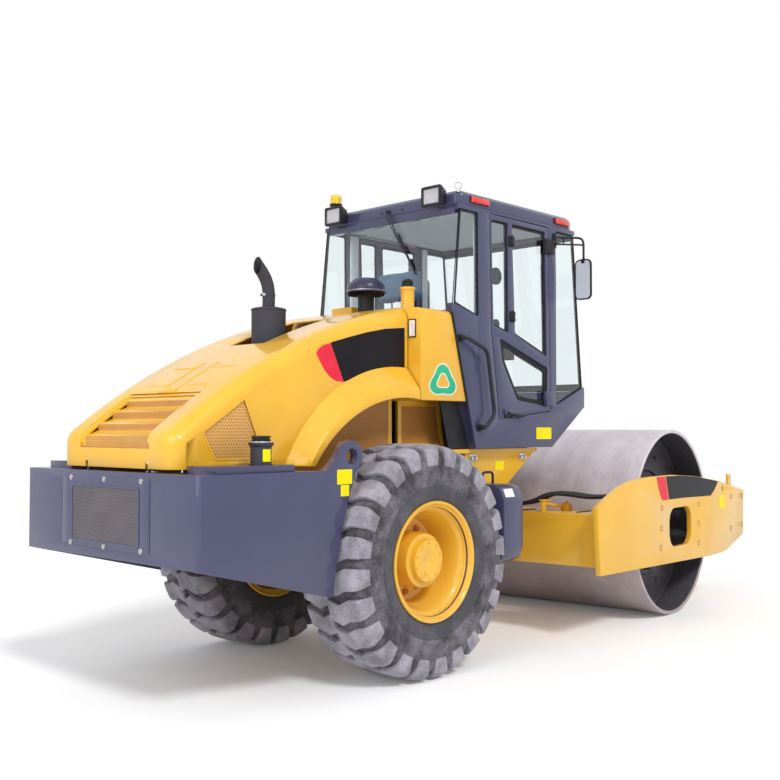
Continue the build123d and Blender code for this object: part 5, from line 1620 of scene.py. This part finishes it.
def step_details(side, sign):
    """Bent rod on top of each step box, and a bare white plate on its rounded shoulder."""
    y = sign * 0.7
    route = [(0.8, y, 1.15), (0.8, y, 1.232), (0.915, y, 1.232), (0.915, y, 1.15)]
    rod = tube(f"step_rod_{side}", route, 0.009, 0.03, 12)
    settle(smooth(rod, 60), BLACK)
    high, low = (0.893, 1.1265), (0.9165, 1.0715)
    field = plate(f"step_label_{side}", [(0.775, sign * high[0], high[1]),
                                         (0.875, sign * high[0], high[1]),
                                         (0.875, sign * low[0], low[1]),
                                         (0.775, sign * low[0], low[1])],
                  (0, sign * 0.0022, 0.001))
    settle(field, WHITE_FILM)


for side, sign in SIDES.items():
    step_details(side, sign)


# ---------------------------------------------------------------- seat and controls
SEAT_Y = 0.12
LEAN = -0.085            # of the back, about the hip
FOAM_PULL = 0.012        # how far a cushion's sides are drawn in
FOAM_GRID = 0.006


def stuffed(name, low, high, crown, swell, cap_mm):
    """A foam cushion: a small block with pulled-in sides, blown up as cloth and capped."""
    low, high = Vector(low), Vector(high)
    core = block(name, low, high)
    with shaping(core):
        select_every()
        bpy.ops.mesh.subdivide(number_cuts=7)
    middle, half = (low + high) / 2, (high - low) / 2
    thin = min(range(3), key=lambda i: half[i])
    for vertex in core.data.vertices:
        u = vertex.co - middle
        rel = Vector((u.x / half.x, u.y / half.y, u.z / half.z))
        for i in range(3):
            others = [abs(rel[j]) for j in range(3) if j != i]
            bulge = (1 - others[0] ** 2) * (1 - others[1] ** 2)
            amount = crown if i == thin else FOAM_PULL
            vertex.co[i] += rel[i] * amount * bulge - rel[i] * 0.006
    bevelled(core, min(half) * 0.35, angle=50, segments=3)
    applied(core, "REMESH", mode="VOXEL", voxel_size=FOAM_GRID)
    start = [vertex.co.copy() for vertex in core.data.vertices]
    cloth = core.modifiers.new("foam", "CLOTH")
    cloth.settings.use_pressure = True
    cloth.settings.uniform_pressure_force = swell
    cloth.settings.effector_weights.gravity = 0
    scene = bpy.context.scene
    for step in range(1, 21):
        scene.frame_set(step)
    shape = core.evaluated_get(bpy.context.evaluated_depsgraph_get())
    swollen = [vertex.co.copy() for vertex in shape.data.vertices]
    core.modifiers.remove(cloth)
    scene.frame_set(1)
    most = cap_mm / 1000
    for vertex, before, after in zip(core.data.vertices, start, swollen):
        move = after - before
        if move.length > most:
            move = move.normalized() * most
        vertex.co = before + move
    return core


def channel(piece, axis, places, depth, width, face):
    """Sewn channels pressed into a cushion's face across one axis."""
    direction = Vector(face)
    normals = [v.normal.copy() for v in piece.data.vertices]
    for vertex, normal in zip(piece.data.vertices, normals):
        if normal.dot(direction) < 0.4:
            continue
        for place in places:
            gap = abs(vertex.co[axis] - place) / width
            if gap < 1:
                vertex.co -= direction * depth * (1 - gap * gap) ** 2
    return piece


def seat():
    """Suspension seat in blue-grey cloth: cushion, back with bolsters and headrest, each a
    stuffed form with sewn channels, over a bellows and a slide."""
    y = SEAT_Y
    hip = (0.93, y, 1.86)
    cushion = stuffed("seat_cushion", (0.925, y - 0.235, 1.792), (1.35, y + 0.235, 1.885), 0.014,
                      4, 9)
    channel(cushion, 1, (y - 0.13, y + 0.13), 0.012, 0.018, UP)
    channel(cushion, 0, (1.1, 1.225), 0.007, 0.016, UP)
    back = stuffed("seat_back", (0.87, y - 0.225, 1.885), (0.955, y + 0.225, 2.43), 0.012, 4, 9)
    channel(back, 1, (y - 0.125, y + 0.125), 0.011, 0.018, AHEAD)
    channel(back, 2, (2.03, 2.17, 2.31), 0.007, 0.016, AHEAD)
    head = stuffed("headrest", (0.9, y - 0.165, 2.486), (1, y + 0.215, 2.705), 0.022, 4, 10)
    for piece in (back, head):
        turned(piece, LEAN, "Y", hip)
    for piece in (cushion, back, head):
        smooth(piece, 80)
        settle(piece, SEAT_CLOTH)
    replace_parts(cushion, "seat")

    shell = block("seat_shell", (0.838, y - 0.215, 1.8), (0.862, y + 0.215, 2.4))
    raised(shell, BACK, 0.05, (-0.008, 0, 0))
    turned(bevelled(shell, 0.008), LEAN, "Y", hip)
    posts = [turned(tube("head_post", [(0.884, y + s, 2.4), (0.884, y + s, 2.5)], 0.006, 0, 12),
                    LEAN, "Y", hip) for s in (-0.06, 0.06)]
    pan = block("seat_pan", (0.905, y - 0.222, 1.768), (1.34, y + 0.222, 1.796))
    slides = [block("slide", (0.94, y + s - 0.016, 1.744), (1.3, y + s + 0.016, 1.768))
              for s in (-0.16, 0.16)]
    arms = []
    for s in (-0.262, 0.262):
        rest = block("armrest", (0.9, y + s - 0.024, 2.035), (1.19, y + s + 0.024, 2.07))
        stalk = block("arm_stalk", (0.895, y + s - 0.01, 1.86), (0.935, y + s + 0.01, 2.045))
        arms += [bevelled(rest, 0.01), bevelled(stalk, 0.004)]
    bellows_profile = [(1.43, 0), (1.43, 0.165)]
    for k in range(7):
        base = 1.45 + k * 0.041
        bellows_profile += [(base, 0.165), (base + 0.02, 0.148)]
    bellows_profile += [(1.742, 0.16), (1.742, 0)]
    bellows = spun("seat_bellows", bellows_profile, (1.1, y, 0), UP, 40)
    slides = [bevelled(slide, 0.002) for slide in slides]
    group("seat_frame", [shell, bevelled(pan, 0.006), bellows] + posts + slides + arms, 35,
          ABS_BLACK)


seat()


def controls():
    """Steering column with a rubber boot, wheel with three spokes, dash pod, screen, levers."""
    y = SEAT_Y
    centre = Vector((1.52, y, 2.112))
    lean = Matrix.Rotation(-0.5, 4, "Y")
    ring = torus("steering_ring", 0.188, 0.0135, (64, 14))
    hub = spun("wheel_hub", [(-0.012, 0), (-0.012, 0.044), (0.008, 0.046), (0.016, 0.04),
                             (0.02, 0.02), (0.02, 0)], axis=UP, steps=36)
    spokes = []
    for a in around(3):
        spoke = block("spoke", (0.035, -0.013, -0.006), (0.184, 0.013, 0.004))
        spokes.append(turned(bevelled(spoke, 0.004), a + 0.3, "Z"))
    knob = spun("wheel_knob", [(0.01, 0), (0.01, 0.01), (0.026, 0.01), (0.034, 0.019),
                               (0.052, 0.019), (0.06, 0.01), (0.06, 0)], (-0.168, 0.09, 0),
                UP, 24)
    wheel_parts = joined([ring, hub, knob] + spokes, "steering_wheel")
    wheel_parts.data.transform(Matrix.Translation(centre) @ lean)
    settle(smooth(wheel_parts, 40), ABS_BLACK)

    stem = tube("column", [centre + lean @ Vector((0, 0, -0.01)), (1.595, y, 1.99),
                           (1.625, y, 1.8)], 0.026, 0.06, 20)
    tower = plate("tower", [(1.585, y - 0.075, 1.43), (1.69, y - 0.075, 1.43),
                            (1.66, y - 0.075, 1.985), (1.56, y - 0.075, 1.96)], (0, 0.15, 0))
    pod = plate("pod", [(1.56, y - 0.19, 1.965), (1.69, y - 0.19, 1.975), (1.697, y - 0.19, 2.04),
                        (1.64, y - 0.19, 2.058), (1.575, y - 0.19, 2)], (0, 0.38, 0))
    boot = spun("boot", [(1.91, 0), (1.91, 0.06), (1.93, 0.054), (1.945, 0.058), (1.96, 0.046),
                         (1.975, 0.05), (1.99, 0.036), (1.99, 0)], (1.6, y, 0), UP, 32)
    pedals = []
    for s in (-0.11, 0.11):
        pad = block("pedal", (1.56, y + s - 0.035, 1.5), (1.575, y + s + 0.035, 1.59))
        arm = tube("pedal_arm", [(1.572, y + s, 1.545), (1.64, y + s, 1.54),
                                 (1.66, y + s * 0.6, 1.5)], 0.008, 0.02, 10)
        pedals += [bevelled(pad, 0.004), arm]
    parts = [bevelled(tower, 0.012), bevelled(pod, 0.01), stem, boot] + pedals
    group("console_body", parts, 35, ABS_BLACK, replaces=("console",))

    side = block("side_console", (0.93, y - 0.42, 1.43), (1.36, y - 0.305, 1.93))
    with shaping(side, "VERT") as mesh:
        pick(mesh, mesh.verts, lambda v: v.co.x > 1.3 and v.co.z > 1.8)
        bpy.ops.transform.translate(value=(0, 0, -0.03))
    bevelled(side, 0.018)
    lever = tube("lever", [(1.22, y - 0.36, 1.9), (1.225, y - 0.36, 2.03)], 0.007, 0, 12)
    grip = spun("lever_knob", [(2.02, 0), (2.02, 0.012), (2.04, 0.021), (2.075, 0.022),
                               (2.095, 0.014), (2.098, 0)], (1.225, y - 0.36, 0), UP, 28)
    gaiter = spun("gaiter", [(1.9, 0), (1.9, 0.04), (1.915, 0.034), (1.925, 0.036),
                             (1.94, 0.022), (1.95, 0.01), (1.95, 0)], (1.22, y - 0.36, 0),
                  UP, 28)
    group("side_console", [side, lever, grip, gaiter], 35, ABS_BLACK)

    screen = block("screen_box", (1.59, -0.36, 2.06), (1.63, -0.18, 2.19))
    raised(screen, BACK, 0.012, (0.004, 0, 0))
    arm = tube("screen_arm", [(1.61, -0.27, 2.07), (1.63, -0.22, 2), (1.65, -0.05, 1.99)], 0.009,
               0.03, 12)
    group("screen_box", [bevelled(screen, 0.006), arm], 35, ABS_BLACK)


controls()


def cab_inside():
    """Moulded lining of the posts and the roof, drawn near white as painted light, ribbed floor
    mat.
    """
    mat = block("floor_mat", (0.835, -0.6, 1.426), (1.69, 0.6, 1.432))
    raised(mat, UP, 0.02, (0, 0, 0.003))
    settle(bevelled(mat, 0.001), FLOOR_MAT)
    head = block("head_lining", (0.672, -0.6, 3.05), (1.925, 0.6, 3.0695))
    raised(head, DOWN, 0.06, (0, 0, 0.008))
    settle(smooth(bevelled(head, 0.004), 30), GREY_TRIM)
    panels = []
    for sign in (-1, 1):
        y0, y1 = sign * 0.604, sign * 0.621
        for points in ([(0.822, 1.6), (0.9, 1.6), (0.905, 3.035), (0.822, 3.035)],
                       [(1.682, 1.6), (1.725, 1.7), (1.725, 3.035), (1.668, 3.035)]):
            panels.append(plate("post_lining", [(x, y0, z) for x, z in points], (0, y1 - y0, 0)))
    group("post_linings", [bevelled(p, 0.003) for p in panels], 30, GREY_TRIM)


cab_inside()


# ---------------------------------------------------------------- drum
DRUM_AXLE = (2.995, 0, 0.7615)


def drum_shell():
    """Thick rolled shell with turned lips, bright outside, and its end discs inside, drawn dark as
    painted shade.
    """
    half, r, t = 1.065, 0.7614, 0.028
    outer = spun("drum_outside", [(-half, r - t + 0.003), (-half, r - 0.004), (-half + 0.004, r),
                                  (half - 0.004, r), (half, r - 0.004), (half, r - t + 0.003),
                                  (half - 0.004, r - t), (half - 0.012, r - t),
                                  (half - 0.012, r - 0.012), (-half + 0.012, r - 0.012),
                                  (-half + 0.012, r - t), (-half + 0.004, r - t)], DRUM_AXLE,
                 steps=128)
    settle(smooth(outer, 30), DRUM, "drum", replaces=("drum",))
    inner_parts = []
    for sign in (-1, 1):
        end = sign * (half - 0.011)
        web = sign * (half - 0.25)
        back = web - sign * 0.025
        section = [(end, r - 0.014), (end, r - t), (web + sign * 0.012, r - t),
                   (web + sign * 0.002, r - t - 0.012), (web, r - t - 0.03), (web, 0.46),
                   (web + sign * 0.014, 0.45), (web + sign * 0.014, 0.42), (web, 0.41),
                   (web, 0.17), (web + sign * 0.068, 0.152), (web + sign * 0.072, 0.146),
                   (web + sign * 0.072, 0.07), (back, 0.07), (back, r - 0.014)]
        inner_parts.append(spun("drum_end", section, DRUM_AXLE, steps=112))
        for a in around(8, 0.5):
            at = (DRUM_AXLE[0] + 0.56 * cos(a), web, DRUM_AXLE[2] + 0.56 * sin(a))
            inner_parts.append(hex_bolt("web_bolt", at, (0, sign, 0), 0.03, 0.014))
        for a in around(4):
            rib = block("web_rib", (0.19, web, -0.008), (0.4, web + sign * 0.05, 0.008))
            with shaping(rib, "VERT") as mesh:
                pick(mesh, mesh.verts, lambda v: v.co.x > 0.39 and abs(v.co.y - web) > 0.01)
                bpy.ops.transform.translate(value=(0, -sign * 0.04, 0))
            inner_parts.append(moved(turned(bevelled(rib, 0.002), a + 0.4, "Y"), DRUM_AXLE))
    group("drum_inside", inner_parts, 30, DRUM_INSIDE, "drum")


drum_shell()


# ---------------------------------------------------------------- side plates' bolts and decals
PLATE_Y = 1.158
PLATE_BOLTS = [(2.558, 0.902), (2.544, 0.743), (2.529, 0.591), (3.323, 0.889), (3.319, 0.727),
               (3.314, 0.563), (4.096, 0.915), (4.38, 0.908), (4.086, 0.626), (4.371, 0.643)]
PLATE_DECAL = [(2.64, 1.15), (2.9, 1.148), (3.256, 1.128), (3.776, 1.066), (3.7, 1),
               (3.599, 0.948), (3, 0.961), (2.7, 0.962)]
PLATE_WEDGE = [(2.456, 1.15), (2.628, 1.15), (2.688, 0.962), (2.56, 0.962), (2.5, 1.05)]


def plate_trim(side, sign):
    y = sign * (PLATE_Y + 0.0005)
    for part, shape, finish in (("decal", PLATE_DECAL, BLACK_FILM),
                                ("wedge", PLATE_WEDGE, RED_FILM)):
        settle(plate(f"plate_{part}_{side}", on_side(shape, y), (0, sign * 0.0008, 0)), finish,
               "front_unit")
    blank_label(f"plate_label_{side}", y, (3.8, 0.823), (3.944, 0.943), "front_unit")
    heads, painted_shade_rings = [], []
    for x, z in PLATE_BOLTS:
        # Painted shade: a thin black ring round each bolt head stands for the shade in the gap
        # between head and seat.
        painted_shade_rings.append(spun("gap", [(0, 0.0185), (0, 0.024), (0.0007, 0.024), (0.0007, 0.0185)],
                         (x, sign * (PLATE_Y - 0.0001), z), (0, sign, 0), 24))
        heads.append(spun("bolt_seat", [(-0.006, 0.024), (-0.006, 0.0265), (0, 0.0265),
                                        (0.0008, 0.0255), (0.0008, 0.024)],
                          (x, sign * (PLATE_Y - 0.0005), z), (0, sign, 0), 24))
        heads.append(spun("bolt_head", [(-0.006, 0), (-0.006, 0.0185), (-0.001, 0.0185),
                                        (0.0008, 0.0165), (0.0008, 0.009), (-0.005, 0.009),
                                        (-0.005, 0)], (x, sign * (PLATE_Y - 0.0002), z),
                          (0, sign, 0), 24))
    group(f"plate_bolts_{side}", heads, 30, YELLOW, "front_unit")
    settle(joined(painted_shade_rings, f"plate_bolt_painted_shade_rings_{side}"), BLACK, "front_unit")


for side, sign in SIDES.items():
    plate_trim(side, sign)


# ---------------------------------------------------------------- hoses over the rear beam
HOSE_ROUTE = [(0, 0.08, 0), (0, -0.25, 0.018), (0, -0.52, 0.04), (0.04, -0.65, 0.12),
              (0.12, -0.78, 0.112), (0.21, -0.88, 0.088), (0.32, -0.955, 0.088),
              (0.43, -1, 0.092), (0.48, -1.11, 0.08)]


def hoses():
    """Three hydraulic hoses with crimped ends at the hitch."""
    z = 0.927
    runs, ends = [], []
    for k in range(3):
        x = 1.351 + 0.25 + 0.048 * k
        shift = Vector((x, 0, z))
        points = [Vector(p) + shift for p in HOSE_ROUTE]
        run = rod_along("hose", points, 0.0165, 16, "NURBS", order_u=3, use_endpoint_u=True)
        runs.append(smooth(run, 60))
        start = points[0]
        ends.append(roller("hose_end", start + Vector((0, 0.008, 0)),
                           start - Vector((0, 0.055, -0.003)), 0.0185, 20))
        for s in (0.012, 0.024, 0.036):
            ends.append(roller("crimp", start - Vector((0, s, 0)),
                               start - Vector((0, s + 0.004, 0)), 0.0198, 20))
    settle(joined(runs, "hoses_rubber"), HOSE, "front_unit", replaces=("hoses",))
    ends = [bevelled(e, 0.001, segments=1) for e in ends]
    group("hose_ends", ends, 30, ZINC, "front_unit")


def hose_bracket():
    """Welded post on the beam that carries the hoses, with a strut down to a clamp block."""
    z = 0.91
    post = block("hose_post", (1.56, -0.655, z), (1.6, -0.63, 0.998))
    top = block("post_top", (1.555, -0.664, 0.99), (1.7, -0.62, 1.001))
    strut = tube("strut", [(1.6, -0.642, 0.975), (1.7, -0.66, 0.955), (1.825, -0.7, z + 0.03)],
                 0.012, 0.04, 12)
    clamp = block("clamp_block", (1.8, -0.735, z), (1.862, -0.668, z + 0.052))
    strap = block("clamp_strap", (1.794, -0.715, z + 0.05), (1.868, -0.69, z + 0.058))
    bolt = hex_bolt("clamp_bolt", (1.831, -0.702, z + 0.058), UP, 0.017, 0.009)
    parts = [bevelled(p, 0.003) for p in (post, top, clamp, strap)] + [strut, bolt]
    group("hose_bracket", parts, 35, YELLOW, "front_unit")
    feet = []
    for x, y in ((1.62, -0.45), (1.62, 0), (1.7, -0.88)):
        foot = block("beam_clip", (x - 0.03, y - 0.012, z), (x + 0.17, y + 0.012, z + 0.005))
        feet.append(bevelled(foot, 0.0015))
    settle(joined(feet, "beam_clips"), BLACK, "front_unit")


def tie_eye(side, sign):
    """Rolled lip of the tie-down eye near a side plate's front end."""
    lip = spun(f"tie_eye_{side}", [(-0.012, 0.016), (-0.012, 0.021), (0.012, 0.021),
                                   (0.012, 0.016)], (4.092, sign * (PLATE_Y - 0.019), 1.086),
               steps=28)
    settle(bevelled(lip, 0.001), YELLOW, "front_unit")


hoses()
hose_bracket()
for side, sign in SIDES.items():
    tie_eye(side, sign)
